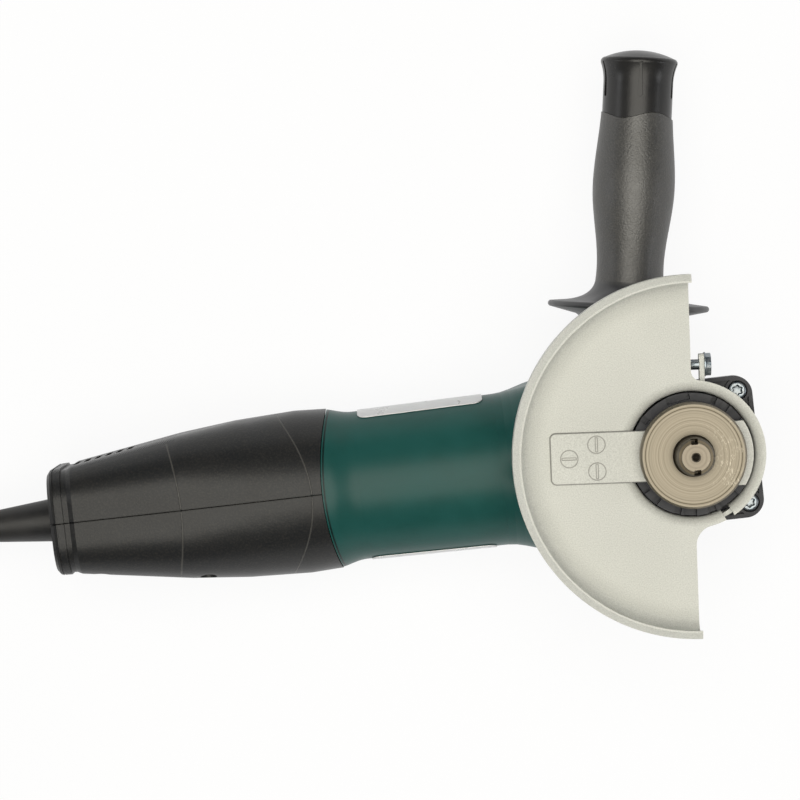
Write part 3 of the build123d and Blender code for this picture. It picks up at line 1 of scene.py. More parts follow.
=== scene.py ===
import bpy
import bmesh
import json
import math
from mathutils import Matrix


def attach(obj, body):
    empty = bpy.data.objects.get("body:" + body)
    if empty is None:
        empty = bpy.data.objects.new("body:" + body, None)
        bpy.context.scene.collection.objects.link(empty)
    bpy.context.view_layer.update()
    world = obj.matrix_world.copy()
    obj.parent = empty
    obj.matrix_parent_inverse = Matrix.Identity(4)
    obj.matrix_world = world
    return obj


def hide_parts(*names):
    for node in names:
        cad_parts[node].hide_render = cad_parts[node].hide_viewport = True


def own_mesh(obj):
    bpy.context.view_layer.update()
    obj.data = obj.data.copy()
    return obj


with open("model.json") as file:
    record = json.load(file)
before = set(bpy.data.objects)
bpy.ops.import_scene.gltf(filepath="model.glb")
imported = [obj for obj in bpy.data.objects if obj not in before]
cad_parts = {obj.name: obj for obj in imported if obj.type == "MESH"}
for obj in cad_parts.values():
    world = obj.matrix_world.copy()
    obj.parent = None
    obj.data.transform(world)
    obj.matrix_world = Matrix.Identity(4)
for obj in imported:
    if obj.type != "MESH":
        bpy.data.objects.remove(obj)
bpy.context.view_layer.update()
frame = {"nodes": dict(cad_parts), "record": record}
nodes = frame["nodes"]


def clearSelection():
    if bpy.context.object and bpy.context.object.mode != "OBJECT":
        bpy.ops.object.mode_set(mode="OBJECT")
    bpy.ops.object.select_all(action="DESELECT")


# the tool lies on its back, so the camera looks down on the disc side
cameraView = {
    "place": (-0.0990, 0.0936, 1.3987),
    "tilt": 2.5,
    "turn": 6.5,
    "lens": 170.1,
    "sensor": 36,
    "near": 0.05,
}


def placeCamera(plan):
    data = bpy.data.cameras.new("viewCamera")
    data.lens = plan["lens"]
    data.sensor_width = plan["sensor"]
    data.clip_start = plan["near"]
    camera = bpy.data.objects.new("viewCamera", data)
    camera.location = plan["place"]
    camera.rotation_euler = (-math.radians(plan["tilt"]), 0, -math.radians(plan["turn"]))
    bpy.context.collection.objects.link(camera)
    bpy.context.scene.camera = camera


placeCamera(cameraView)
print("camera placed")


def startFinish(name, roughness, metallic=0.0, specular=0.5):
    finish = bpy.data.materials.new(name)
    finish.use_nodes = True
    tree = finish.node_tree
    shader = tree.nodes["Principled BSDF"]
    shader.inputs["Roughness"].default_value = roughness
    shader.inputs["Metallic"].default_value = metallic
    shader.inputs["Specular IOR Level"].default_value = specular
    return finish, tree, shader


def placeCoordinates(tree, centre=(0, 0, 0), turn=0.0, stretch=(1, 1, 1)):
    place = tree.nodes.new("ShaderNodeTexCoord")
    mapping = tree.nodes.new("ShaderNodeMapping")
    mapping.vector_type = "TEXTURE"
    mapping.inputs["Location"].default_value = centre
    mapping.inputs["Rotation"].default_value = (0, 0, math.radians(turn))
    mapping.inputs["Scale"].default_value = stretch
    tree.links.new(place.outputs["Object"], mapping.inputs["Vector"])
    return mapping.outputs["Vector"]


def useMath(tree, kind, *values):
    node = tree.nodes.new("ShaderNodeMath")
    node.operation = kind
    for socket, value in zip(node.inputs, values):
        if isinstance(value, (int, float)):
            socket.default_value = value
        else:
            tree.links.new(value, socket)
    return node.outputs["Value"]


def useVector(tree, kind, *values):
    node = tree.nodes.new("ShaderNodeVectorMath")
    node.operation = kind
    for socket, value in zip(node.inputs, values):
        if isinstance(value, tuple):
            socket.default_value = value
        else:
            tree.links.new(value, socket)
    return node.outputs["Value" if kind in ("LENGTH", "DOT_PRODUCT") else "Vector"]


def splitPlace(tree, vector):
    split = tree.nodes.new("ShaderNodeSeparateXYZ")
    tree.links.new(vector, split.inputs["Vector"])
    return split.outputs["X"], split.outputs["Y"], split.outputs["Z"]


# where most of a noise lies
noiseLow, noiseHigh = 0.3, 0.7


def addNoise(tree, vector, size, detail=2.0, distortion=0.0):
    noise = tree.nodes.new("ShaderNodeTexNoise")
    noise.inputs["Scale"].default_value = 1 / size
    noise.inputs["Detail"].default_value = detail
    noise.inputs["Distortion"].default_value = distortion
    tree.links.new(vector, noise.inputs["Vector"])
    return noise.outputs["Fac"]


def spreadValue(tree, source, low, high, fromLow=noiseLow, fromHigh=noiseHigh):
    spread = tree.nodes.new("ShaderNodeMapRange")
    spread.inputs["From Min"].default_value = fromLow
    spread.inputs["From Max"].default_value = fromHigh
    spread.inputs["To Min"].default_value = low
    spread.inputs["To Max"].default_value = high
    tree.links.new(source, spread.inputs["Value"])
    return spread.outputs["Result"]


def mixColours(tree, source, *stops, steps=False):
    # stops are pairs of place and colour
    ramp = tree.nodes.new("ShaderNodeValToRGB")
    line = ramp.color_ramp
    line.interpolation = "CONSTANT" if steps else "LINEAR"
    for index, (place, colour) in enumerate(stops):
        stop = line.elements[index] if index < 2 else line.elements.new(place)
        stop.position = place
        stop.color = (*colour, 1)
    tree.links.new(source, ramp.inputs["Fac"])
    return ramp.outputs["Color"]


def layColour(tree, body, mask, colour):
    # a second colour over the first, where the mask is 1
    blend = tree.nodes.new("ShaderNodeMix")
    blend.data_type = "RGBA"
    blend.inputs["B"].default_value = (*colour, 1)
    tree.links.new(mask, blend.inputs["Factor"])
    tree.links.new(body, blend.inputs["A"])
    return blend.outputs["Result"]


def addBump(tree, height, depth, under=None):
    bump = tree.nodes.new("ShaderNodeBump")
    bump.inputs["Distance"].default_value = depth
    bump.inputs["Strength"].default_value = 1.0
    tree.links.new(height, bump.inputs["Height"])
    if under is not None:
        tree.links.new(under, bump.inputs["Normal"])
    return bump.outputs["Normal"]


def roundedBox(tree, flat, centre, half, corner):
    # distance from the outline of a rounded box, below 0 inside it; a box of no size is a circle
    reach = useVector(tree, "ABSOLUTE", useVector(tree, "SUBTRACT", flat, (*centre, 0)))
    inner = (half[0] - corner, half[1] - corner, 0) if half else (0, 0, 0)
    beyond = useVector(tree, "MAXIMUM", useVector(tree, "SUBTRACT", reach, inner), (0, 0, 0))
    return useMath(tree, "SUBTRACT", useVector(tree, "LENGTH", beyond), corner)


def lineMask(tree, distance, width):
    # 1 on the line where the distance is 0, and 0 away from it
    return spreadValue(tree, useMath(tree, "ABSOLUTE", distance), 1, 0, width / 2, width)


def mouldedFinish(name, plan):
    # moulded or painted skin: slow colour drift, fine grain, uneven gloss
    finish, tree, shader = startFinish(
        name, plan["roughness"], plan.get("metallic", 0.0), plan.get("specular", 0.5),
    )
    vector = placeCoordinates(tree)
    drift = addNoise(tree, vector, plan["driftSize"], 3.0)
    grain = addNoise(tree, vector, plan["grainSize"])
    body = mixColours(tree, drift, (noiseLow, plan["colour"]), (noiseHigh, plan["driftColour"]))
    if "fleck" in plan:
        flecks = spreadValue(tree, grain, 0, plan["fleckShare"], *plan["fleckRange"])
        body = layColour(tree, body, flecks, plan["fleck"])
    tree.links.new(body, shader.inputs["Base Color"])
    low, high = plan["roughness"] - plan["glossSpread"], plan["roughness"] + plan["glossSpread"]
    tree.links.new(spreadValue(tree, drift, low, high), shader.inputs["Roughness"])
    tree.links.new(addBump(tree, grain, plan["grainDepth"]), shader.inputs["Normal"])
    return finish, tree, shader


def simpleFinish(name, plan):
    return mouldedFinish(name, plan)[0]


def layOver(tree, shader, mask, colour):
    # a colour over what the shader already has
    body = shader.inputs["Base Color"].links[0].from_socket
    tree.links.new(layColour(tree, body, mask, colour), shader.inputs["Base Color"])


def layHeight(tree, shader, height, depth):
    # relief on top of the grain
    grain = shader.inputs["Normal"].links[0].from_socket
    tree.links.new(addBump(tree, height, depth, grain), shader.inputs["Normal"])


greenHousing = {
    "colour": (0.009, 0.066, 0.058), "driftColour": (0.011, 0.076, 0.068),
    "roughness": 0.36, "glossSpread": 0.02,
    "specular": 0.22, "grainSize": 0.0006, "grainDepth": 0.00003, "driftSize": 0.012,
    "lineCentre": (-0.032, 0, 0), "lineRadius": 0.1062, "lineWidth": 0.0004,
    "lineColour": (0.002, 0.010, 0.009),
}


def greenFinish(name, plan):
    # green barrel with the thin shadow line before its rear edge
    finish, tree, shader = mouldedFinish(name, plan)
    flat = useVector(tree, "MULTIPLY", placeCoordinates(tree, plan["lineCentre"]), (1, 1, 0))
    reach = useMath(tree, "SUBTRACT", useVector(tree, "LENGTH", flat), plan["lineRadius"])
    layOver(tree, shader, lineMask(tree, reach, plan["lineWidth"]), plan["lineColour"])
    return finish


blackShell = {
    "colour": (0.011, 0.012, 0.013), "driftColour": (0.014, 0.014, 0.014),
    "roughness": 0.36, "glossSpread": 0.02,
    "specular": 0.28, "grainSize": 0.0007, "grainDepth": 0.00005, "driftSize": 0.015,
    "fleck": (0.034, 0.032, 0.028), "fleckShare": 0.6, "fleckRange": (0.45, 0.75),
    "lines": ((-0.1430, 11.6), (-0.1925, 5.5)),  # place on the ridge and how much it bows
    # the lines' lighter colour is a painted highlight
    "lineWidth": 0.00035, "lineHeight": 0.00012, "lineColour": (0.055, 0.053, 0.048),
    "seamWidth": 0.0006, "seamColour": (0.002, 0.002, 0.002), "borderShadeColour": (0.003, 0.003, 0.003),
    "panelStart": -0.1925, "panelHalf": 0.0558, "panelTaper": 0.155,
    "panelFade": 0.0003, "panelRise": 0.0004,
    "ribSize": 0.0011, "ribLean": 0.5, "ribDepth": 0.00012, "ribWave": (-0.5, 0.8),
}


def shellFinish(name, plan):
    # rear shells: two faint mould lines that bow round the handle, painted lighter as a highlight
    # over a small raised bump, the seam between the shells, and a ribbed hold on each side with a
    # dark line of painted shade along its border
    finish, tree, shader = mouldedFinish(name, plan)
    across, outward, height = splitPlace(tree, placeCoordinates(tree))
    square = useMath(tree, "MULTIPLY", outward, outward)
    side = useMath(tree, "ABSOLUTE", outward)
    panel = useMath(tree, "MULTIPLY_ADD", across, plan["panelTaper"], plan["panelHalf"])
    border = useMath(tree, "SUBTRACT", side, panel)
    front = plan["panelStart"]
    behind = spreadValue(tree, across, 1, 0, front - plan["panelFade"], front)
    creaseHighlight = None
    # each line is painted lighter as a highlight along a crease, with a small bump
    for place, bow in plan["lines"]:
        reach = useMath(tree, "SUBTRACT", useMath(tree, "MULTIPLY_ADD", square, bow, across), place)
        line = lineMask(tree, reach, plan["lineWidth"])
        creaseHighlight = line if creaseHighlight is None else useMath(tree, "MAXIMUM", creaseHighlight, line)
    layOver(tree, shader, creaseHighlight, plan["lineColour"])
    layHeight(tree, shader, creaseHighlight, plan["lineHeight"])
    layOver(tree, shader, lineMask(tree, side, plan["seamWidth"]), plan["seamColour"])
    # a dark line of painted shade along each ribbed hold's border
    edge = useMath(tree, "MULTIPLY", lineMask(tree, border, 2 * plan["lineWidth"]), behind)
    layOver(tree, shader, edge, plan["borderShadeColour"])
    inside = spreadValue(tree, border, 0, 1, 0, plan["panelRise"])
    inside = useMath(tree, "MULTIPLY", inside, behind)
    slanted = useMath(tree, "MULTIPLY_ADD", height, plan["ribLean"], across)
    phase = useMath(tree, "MULTIPLY", slanted, 2 * math.pi / plan["ribSize"])
    wave = spreadValue(tree, useMath(tree, "SINE", phase), 0, 1, *plan["ribWave"])
    layHeight(tree, shader, useMath(tree, "MULTIPLY", wave, inside), plan["ribDepth"])
    return finish


gripRubber = {
    "colour": (0.018, 0.017, 0.015), "driftColour": (0.026, 0.024, 0.020),
    "roughness": 0.45, "glossSpread": 0.03,
    "specular": 1.0, "grainSize": 0.0005, "grainDepth": 0.00003, "driftSize": 0.004,
    "fleck": (0.070, 0.066, 0.055), "fleckShare": 0.6, "fleckRange": (0.45, 0.75),
    "seat": (-0.0184, 0.037, -0.047), "lean": 8.9, "baseEnd": (0.0275, 0.0295),
    "baseColour": (0.013, 0.013, 0.014),
    "poreSize": 0.0016, "poreDepth": 0.00003, "poreEdge": 0.25,
}


def gripFinish(name, plan):
    # soft handle skin with a leather grain, smoother and darker over its flange
    finish, tree, shader = mouldedFinish(name, plan)
    lean = math.radians(plan["lean"])
    vector = placeCoordinates(tree, plan["seat"])
    along = useVector(tree, "DOT_PRODUCT", vector, (math.sin(lean), math.cos(lean), 0))
    grip = spreadValue(tree, along, 0, 1, *plan["baseEnd"])
    pores = tree.nodes.new("ShaderNodeTexVoronoi")
    pores.feature = "DISTANCE_TO_EDGE"
    pores.inputs["Scale"].default_value = 1 / plan["poreSize"]
    tree.links.new(vector, pores.inputs["Vector"])
    skin = spreadValue(tree, pores.outputs["Distance"], 0, 1, 0, plan["poreEdge"])
    layHeight(tree, shader, useMath(tree, "MULTIPLY", skin, grip), plan["poreDepth"])
    layOver(tree, shader, useMath(tree, "SUBTRACT", 1.0, grip), plan["baseColour"])
    return finish


castBlack = {
    "colour": (0.012, 0.012, 0.014), "driftColour": (0.019, 0.018, 0.021),
    "roughness": 0.38, "glossSpread": 0.05,
    "specular": 0.3, "grainSize": 0.0009, "grainDepth": 0.00007, "driftSize": 0.006,
}
coverBlack = {
    "colour": (0.011, 0.012, 0.017), "driftColour": (0.016, 0.017, 0.023),
    "roughness": 0.42, "glossSpread": 0.06,
    "specular": 0.32, "grainSize": 0.0008, "grainDepth": 0.00006, "driftSize": 0.005,
}
capPlastic = {
    "colour": (0.014, 0.014, 0.014), "driftColour": (0.019, 0.018, 0.017),
    "roughness": 0.30, "glossSpread": 0.03,
    "specular": 0.35, "grainSize": 0.0025, "grainDepth": 0.00004, "driftSize": 0.01,
}
cordRubber = {
    "colour": (0.014, 0.014, 0.014), "driftColour": (0.020, 0.019, 0.018),
    "roughness": 0.46, "glossSpread": 0.05,
    "specular": 0.42, "grainSize": 0.0011, "grainDepth": 0.00005, "driftSize": 0.008,
}
plugRubber = {
    "colour": (0.012, 0.012, 0.012), "driftColour": (0.020, 0.020, 0.019),
    "roughness": 0.5, "glossSpread": 0.06,
    "grainSize": 0.0009, "grainDepth": 0.00005, "driftSize": 0.01,
}
knobPlastic = {
    "colour": (0.012, 0.012, 0.012), "driftColour": (0.018, 0.018, 0.018),
    "roughness": 0.38, "glossSpread": 0.05,
    "grainSize": 0.0008, "grainDepth": 0.00004, "driftSize": 0.006,
}
innerPlastic = {
    "colour": (0.013, 0.013, 0.013), "driftColour": (0.020, 0.020, 0.020),
    "roughness": 0.5, "glossSpread": 0.05,
    "grainSize": 0.001, "grainDepth": 0.00004, "driftSize": 0.01,
}
bushRubber = {
    "colour": (0.015, 0.015, 0.015), "driftColour": (0.024, 0.024, 0.024),
    "roughness": 0.7, "glossSpread": 0.05,
    "grainSize": 0.001, "grainDepth": 0.00005, "driftSize": 0.006,
}
carbonBlock = {
    "colour": (0.03, 0.03, 0.031), "driftColour": (0.05, 0.05, 0.052),
    "roughness": 0.4, "glossSpread": 0.08,
    "grainSize": 0.0004, "grainDepth": 0.00003, "driftSize": 0.002,
}
capacitorCase = {
    "colour": (0.50, 0.47, 0.36), "driftColour": (0.55, 0.51, 0.40),
    "roughness": 0.35, "glossSpread": 0.05,
    "grainSize": 0.002, "grainDepth": 0.00003, "driftSize": 0.01,
}
sheetSteelStack = {
    "colour": (0.12, 0.12, 0.13), "driftColour": (0.18, 0.18, 0.19),
    "roughness": 0.45, "glossSpread": 0.08,
    "grainSize": 0.0008, "grainDepth": 0.00004, "driftSize": 0.004, "metallic": 0.9,
}
windingWire = {
    "colour": (0.42, 0.13, 0.04), "driftColour": (0.52, 0.19, 0.07),
    "roughness": 0.35, "glossSpread": 0.06,
    "grainSize": 0.0007, "grainDepth": 0.0002, "driftSize": 0.004, "metallic": 0.7,
}
barePlate = {
    "colour": (0.60, 0.61, 0.62), "driftColour": (0.66, 0.67, 0.68),
    "roughness": 0.30, "glossSpread": 0.04,
    "grainSize": 0.003, "grainDepth": 0.00002, "driftSize": 0.01, "metallic": 0.2,
}
guardPaint = {
    "colour": (0.595, 0.60, 0.557), "fleckLight": (0.66, 0.665, 0.62),
    "fleckDark": (0.53, 0.535, 0.495),
    "roughness": 0.5, "glossFall": 0.04, "glossRise": 0.05, "metallic": 0.04, "specular": 0.3,
    "fleckSize": 0.00045, "fleckDepth": 0.00005, "fleckStops": (0.32, 0.5, 0.70), "driftSize": 0.03,
    "turn": -4.4, "lineColour": (0.27, 0.27, 0.25), "lineWidth": 0.00034,
    "levels": (-0.0098, -0.0094),
    "strip": {"centre": (-0.0224, 0), "half": (0.0304, 0.00955), "corner": 0.002},
    "clinches": ((-0.0459, 0), (-0.0356, 0.005), (-0.0356, -0.005)),
    "clinchRadius": 0.00325, "clinchColour": (0.36, 0.355, 0.33), "clinchWidth": 0.00026,
    "barHalf": (0.0027, 0.0004), "barCorner": 0.0003,
}


def sandyPaint(name, plan):
    # silver paint with a fine sandy fleck, shadowed round the bridge strip and its clinches
    finish, tree, shader = startFinish(name, plan["roughness"], plan["metallic"], plan["specular"])
    vector = placeCoordinates(tree)
    fleck = addNoise(tree, vector, plan["fleckSize"])
    drift = addNoise(tree, vector, plan["driftSize"])
    low, middle, high = plan["fleckStops"]
    body = mixColours(
        tree, fleck, (low, plan["fleckDark"]), (high, plan["fleckLight"]), (middle, plan["colour"]),
    )
    tree.links.new(body, shader.inputs["Base Color"])
    smooth, rough = plan["roughness"] - plan["glossFall"], plan["roughness"] + plan["glossRise"]
    tree.links.new(spreadValue(tree, drift, smooth, rough), shader.inputs["Roughness"])
    tree.links.new(addBump(tree, fleck, plan["fleckDepth"]), shader.inputs["Normal"])
    turned = placeCoordinates(tree, turn=plan["turn"])
    flat = useVector(tree, "MULTIPLY", turned, (1, 1, 0))
    above = spreadValue(tree, splitPlace(tree, turned)[2], 0, 1, *plan["levels"])
    strip = plan["strip"]
    border = roundedBox(tree, flat, strip["centre"], strip["half"], strip["corner"])
    outline = lineMask(tree, border, plan["lineWidth"])
    layOver(tree, shader, useMath(tree, "MULTIPLY", outline, above), plan["lineColour"])
    marks = None
    for place in plan["clinches"]:
        ring = roundedBox(tree, flat, place, None, plan["clinchRadius"])
        ring = lineMask(tree, ring, plan["clinchWidth"])
        half = plan["barHalf"] if place[1] == 0 else plan["barHalf"][::-1]
        bar = roundedBox(tree, flat, place, half, plan["barCorner"])
        bar = lineMask(tree, bar, plan["clinchWidth"])
        mark = useMath(tree, "MAXIMUM", ring, bar)
        marks = mark if marks is None else useMath(tree, "MAXIMUM", marks, mark)
    layOver(tree, shader, useMath(tree, "MULTIPLY", marks, above), plan["clinchColour"])
    return finish


flangeNickel = {
    "colour": (0.245, 0.217, 0.168), "light": (0.272, 0.242, 0.190),
    "roughness": 0.52, "axis": (1, 1, 0),
    "centre": (0, 0, 0), "ringSize": 0.0005, "ringDepth": 0.000003,
    "glintColour": (0.40, 0.365, 0.30),
    "glintSideRange": (0.002, 0.012),
    # a dark ring painted near the rim as the shade of a shallow groove
    "grooves": ((0.0180, 0.00022, (0.10, 0.085, 0.06)),),  # reach, width and colour
}
spindleSteel = {
    "colour": (0.20, 0.175, 0.14), "light": (0.26, 0.23, 0.185),
    "roughness": 0.5, "axis": (1, 1, 0),
    "centre": (0, 0, 0), "ringSize": 0.0007, "ringDepth": 0.00001, "glintColour": (0.5, 0.46, 0.38),
    "glintSideRange": (0.002, 0.012),
    # on the spindle's end the near-black centre and the dark ring at 5.2 mm, at the thread's flank,
    # are painted shade
    "zones": (  # where each one starts, and its colour
        (0.0, (0.01, 0.01, 0.01)), (0.00135, (0.235, 0.205, 0.16)), (0.0052, (0.03, 0.027, 0.02)),
        (0.0055, (0.30, 0.24, 0.15)), (0.0064, (0.17, 0.155, 0.125)),
    ),
}
shaftSteel = {
    "colour": (0.40, 0.40, 0.41), "light": (0.50, 0.50, 0.51), "roughness": 0.28, "axis": (0, 1, 1),
    "centre": (0, 0, -0.05), "ringSize": 0.001, "ringDepth": 0.00002,
    "glintColour": (0.55, 0.55, 0.56),
    "glintSideRange": (0.0, 0.01),
}
commutatorCopper = {
    "colour": (0.55, 0.26, 0.12), "light": (0.66, 0.35, 0.18), "roughness": 0.3, "axis": (0, 1, 1),
    "centre": (0, 0, -0.05), "ringSize": 0.0009, "ringDepth": 0.00002,
    "glintColour": (0.7, 0.4, 0.22),
    "glintSideRange": (0.0, 0.01),
}

# what all turned pieces share
turnedMetal = {
    "ringDetail": 4.0, "ringRange": (0.35, 0.68), "glossRise": 0.1, "glossFall": 0.06,
    "zoneScale": 100, "zoneShare": 0.75,
    # the streak and patch entries below shape the painted highlight streaks
    "glintStretch": (0.6, 1.6, 1), "glintSize": 0.0022, "glintDetail": 4.0,
    "glintTwist": 2.2, "glintRange": (0.57, 0.67),
    "glintPatchSize": 0.009, "glintPatchRange": (0.44, 0.54),
}


def turnedFinish(name, plan):
    # lathe-turned metal: rings round the axis, with a few bright streaks towards one side that are
    # painted highlights
    shared = turnedMetal
    finish, tree, shader = startFinish(name, plan["roughness"], 1.0)
    vector = placeCoordinates(tree, plan["centre"])
    reach = useVector(tree, "LENGTH", useVector(tree, "MULTIPLY", vector, plan["axis"]))
    rings = tree.nodes.new("ShaderNodeTexNoise")
    rings.noise_dimensions = "1D"
    rings.inputs["Scale"].default_value = 1 / plan["ringSize"]
    rings.inputs["Detail"].default_value = shared["ringDetail"]
    tree.links.new(reach, rings.inputs["W"])
    stretched = placeCoordinates(tree, plan["centre"], 0, shared["glintStretch"])
    marks = addNoise(tree, stretched, shared["glintSize"], shared["glintDetail"], shared["glintTwist"])
    glintPatch = addNoise(tree, vector, shared["glintPatchSize"])
    dark, light = shared["ringRange"]
    body = mixColours(tree, rings.outputs["Fac"], (dark, plan["colour"]), (light, plan["light"]))
    # colour rings by radius; on the spindle the darkest of them are painted shade
    if "zones" in plan:
        scale = shared["zoneScale"]
        place = useMath(tree, "MULTIPLY", reach, scale)
        stops = [(start * scale, colour) for start, colour in plan["zones"]]
        zones = mixColours(tree, place, *stops, steps=True)
        blend = tree.nodes.new("ShaderNodeMix")
        blend.data_type = "RGBA"
        blend.inputs["Factor"].default_value = shared["zoneShare"]
        tree.links.new(body, blend.inputs["A"])
        tree.links.new(zones, blend.inputs["B"])
        body = blend.outputs["Result"]
    # dark rings painted as the shade of shallow grooves
    for place, width, colour in plan.get("grooves", ()):
        groove = lineMask(tree, useMath(tree, "SUBTRACT", reach, place), width)
        body = layColour(tree, body, groove, colour)
    # bright streaks in patches, gated towards +X: painted highlights
    marks = spreadValue(tree, marks, 0, 1, *shared["glintRange"])
    glintMask = useMath(tree, "MULTIPLY", marks, spreadValue(tree, glintPatch, 0, 1, *shared["glintPatchRange"]))
    towards = spreadValue(tree, splitPlace(tree, vector)[0], 0, 1, *plan["glintSideRange"])
    glintMask = useMath(tree, "MULTIPLY", glintMask, towards)
    tree.links.new(layColour(tree, body, glintMask, plan["glintColour"]), shader.inputs["Base Color"])
    rough, smooth = plan["roughness"] + shared["glossRise"], plan["roughness"] - shared["glossFall"]
    gloss = spreadValue(tree, rings.outputs["Fac"], rough, smooth)
    tree.links.new(gloss, shader.inputs["Roughness"])
    tree.links.new(addBump(tree, rings.outputs["Fac"], plan["ringDepth"]), shader.inputs["Normal"])
    return finish


zincPlate = {
    "colour": (0.20, 0.24, 0.27), "driftColour": (0.36, 0.38, 0.39),
    "roughness": 0.36, "glossSpread": 0.10,
    "grainSize": 0.0012, "grainDepth": 0.00004, "driftSize": 0.0014, "metallic": 1.0,
}
springSteel = {
    "colour": (0.28, 0.28, 0.29), "driftColour": (0.38, 0.38, 0.39),
    "roughness": 0.35, "glossSpread": 0.08,
    "grainSize": 0.001, "grainDepth": 0.00003, "driftSize": 0.003, "metallic": 1.0,
}
bearingSteel = {
    "colour": (0.48, 0.49, 0.50), "driftColour": (0.56, 0.57, 0.58),
    "roughness": 0.22, "glossSpread": 0.05,
    "grainSize": 0.0012, "grainDepth": 0.00001, "driftSize": 0.004, "metallic": 1.0,
}
gearSteel = {
    "colour": (0.26, 0.25, 0.23), "driftColour": (0.36, 0.34, 0.31),
    "roughness": 0.32, "glossSpread": 0.08,
    "grainSize": 0.001, "grainDepth": 0.00003, "driftSize": 0.003, "metallic": 1.0,
}
holderBrass = {
    "colour": (0.55, 0.38, 0.12), "driftColour": (0.64, 0.46, 0.17),
    "roughness": 0.3, "glossSpread": 0.06,
    "grainSize": 0.001, "grainDepth": 0.00002, "driftSize": 0.004, "metallic": 1.0,
}
plugNickel = {
    "colour": (0.60, 0.59, 0.56), "driftColour": (0.68, 0.67, 0.63),
    "roughness": 0.2, "glossSpread": 0.05,
    "grainSize": 0.001, "grainDepth": 0.00001, "driftSize": 0.004, "metallic": 1.0,
}

finishes = {
    "dark_casting": simpleFinish("castBlack", castBlack),
    "cover_black": simpleFinish("coverBlack", coverBlack),
    "zinc_screw": simpleFinish("zincPlate", zincPlate),
    "spring_steel": simpleFinish("springSteel", springSteel),
    "bearing_steel": simpleFinish("bearingSteel", bearingSteel),
    "green_plastic": greenFinish("greenHousing", greenHousing),
    "laminations": simpleFinish("sheetSteelStack", sheetSteelStack),
    "copper_winding": simpleFinish("windingWire", windingWire),
    "black_plastic": simpleFinish("innerPlastic", innerPlastic),
    "brass_holder": simpleFinish("holderBrass", holderBrass),
    "carbon": simpleFinish("carbonBlock", carbonBlock),
    "bush_rubber": simpleFinish("bushRubber", bushRubber),
    "shell_black": shellFinish("blackShell", blackShell),
    "capacitor_case": simpleFinish("capacitorCase", capacitorCase),
    "cord_rubber": simpleFinish("cordRubber", cordRubber),
    "plug_rubber": simpleFinish("plugRubber", plugRubber),
    "plug_pin_metal": simpleFinish("plugNickel", plugNickel),
    "grip_rubber": gripFinish("gripRubber", gripRubber),
    "cap_black": simpleFinish("capPlastic", capPlastic),
    "spindle_steel": turnedFinish("spindleSteel", spindleSteel),
    "flange_nickel": turnedFinish("flangeNickel", flangeNickel),
    "gear_steel": simpleFinish("gearSteel", gearSteel),
    "commutator_copper": turnedFinish("commutatorCopper", commutatorCopper),
    "guard_paint": sandyPaint("guardPaint", guardPaint),
    "knob_black": simpleFinish("knobPlastic", knobPlastic),
}
plateFinish = simpleFinish("barePlate", barePlate)
shaftFinish = turnedFinish("shaftSteel", shaftSteel)

for row in frame["record"]["subparts"]:
    skin = nodes[row["node"]]
    skin.data.materials.clear()
    skin.data.materials.append(finishes[row["material_slot"]])
for name in ("armature_shaft", "lock_pin"):
    nodes[name].data.materials[0] = shaftFinish
print("finishes given to", len(nodes), "nodes")

# degrees, past which an edge is bevelled and shaded sharp
sharpAngle = 35
# how near a vertex or a face lies to a height, a radius, a turn in degrees or the axis to count
closeHeight = 1e-6
closeReach = 2e-5
closeTurn = 0.5
closeAxis = 1e-4
# vertices nearer than this are one
weldReach = 2e-6


def makeActive(piece):
    clearSelection()
    piece.select_set(True)
    bpy.context.view_layer.objects.active = piece


def startEdit(piece):
    makeActive(piece)
    bpy.ops.object.mode_set(mode="EDIT")
    bpy.ops.mesh.select_all(action="DESELECT")


def endEdit():
    bpy.ops.object.mode_set(mode="OBJECT")


def pickFaces(piece, test):
    bpy.ops.mesh.select_mode(type="FACE")
    bpy.ops.mesh.select_all(action="DESELECT")
    mesh = bmesh.from_edit_mesh(piece.data)
    for face in mesh.faces:
        face.select_set(test(face))
    bmesh.update_edit_mesh(piece.data)


def pickVertices(piece, test):
    bpy.ops.mesh.select_mode(type="VERT")
    bpy.ops.mesh.select_all(action="DESELECT")
    mesh = bmesh.from_edit_mesh(piece.data)
    for vertex in mesh.verts:
        vertex.select_set(test(vertex))
    mesh.select_flush(True)
    bmesh.update_edit_mesh(piece.data)


def push(offset):
    bpy.ops.mesh.extrude_region_move(TRANSFORM_OT_translate={"value": offset})


def scaleAcross(share, height=0):
    # scales what is picked about the Z axis
    bpy.ops.transform.resize(value=(share, share, 1), center_override=(0, 0, height))


def applyAll(piece):
    makeActive(piece)
    for modifier in list(piece.modifiers):
        bpy.ops.object.modifier_apply(modifier=modifier.name)


def addBevel(piece, width, segments=2):
    bevel = piece.modifiers.new("edge", "BEVEL")
    bevel.width = width
    bevel.segments = segments
    bevel.limit_method = "ANGLE"
    bevel.angle_limit = math.radians(sharpAngle)


def bakePlace(piece):
    # the place goes into the mesh, and the object stays at the origin
    makeActive(piece)
    bpy.ops.object.transform_apply(location=True, rotation=True, scale=True)


def movePiece(piece, turn=(0, 0, 0), place=(0, 0, 0)):
    piece.rotation_euler = [math.radians(angle) for angle in turn]
    piece.location = place
    bakePlace(piece)


def facesUp(face):
    return face.normal.z > 0.9


def facesDown(face):
    return face.normal.z < -0.9


def makeRound(sides, radius, height):
    # a cylinder that stands on the origin
    clearSelection()
    bpy.ops.mesh.primitive_cylinder_add(
        vertices=sides, radius=radius, depth=height, location=(0, 0, height / 2),
    )
    piece = bpy.context.object
    bakePlace(piece)
    return piece


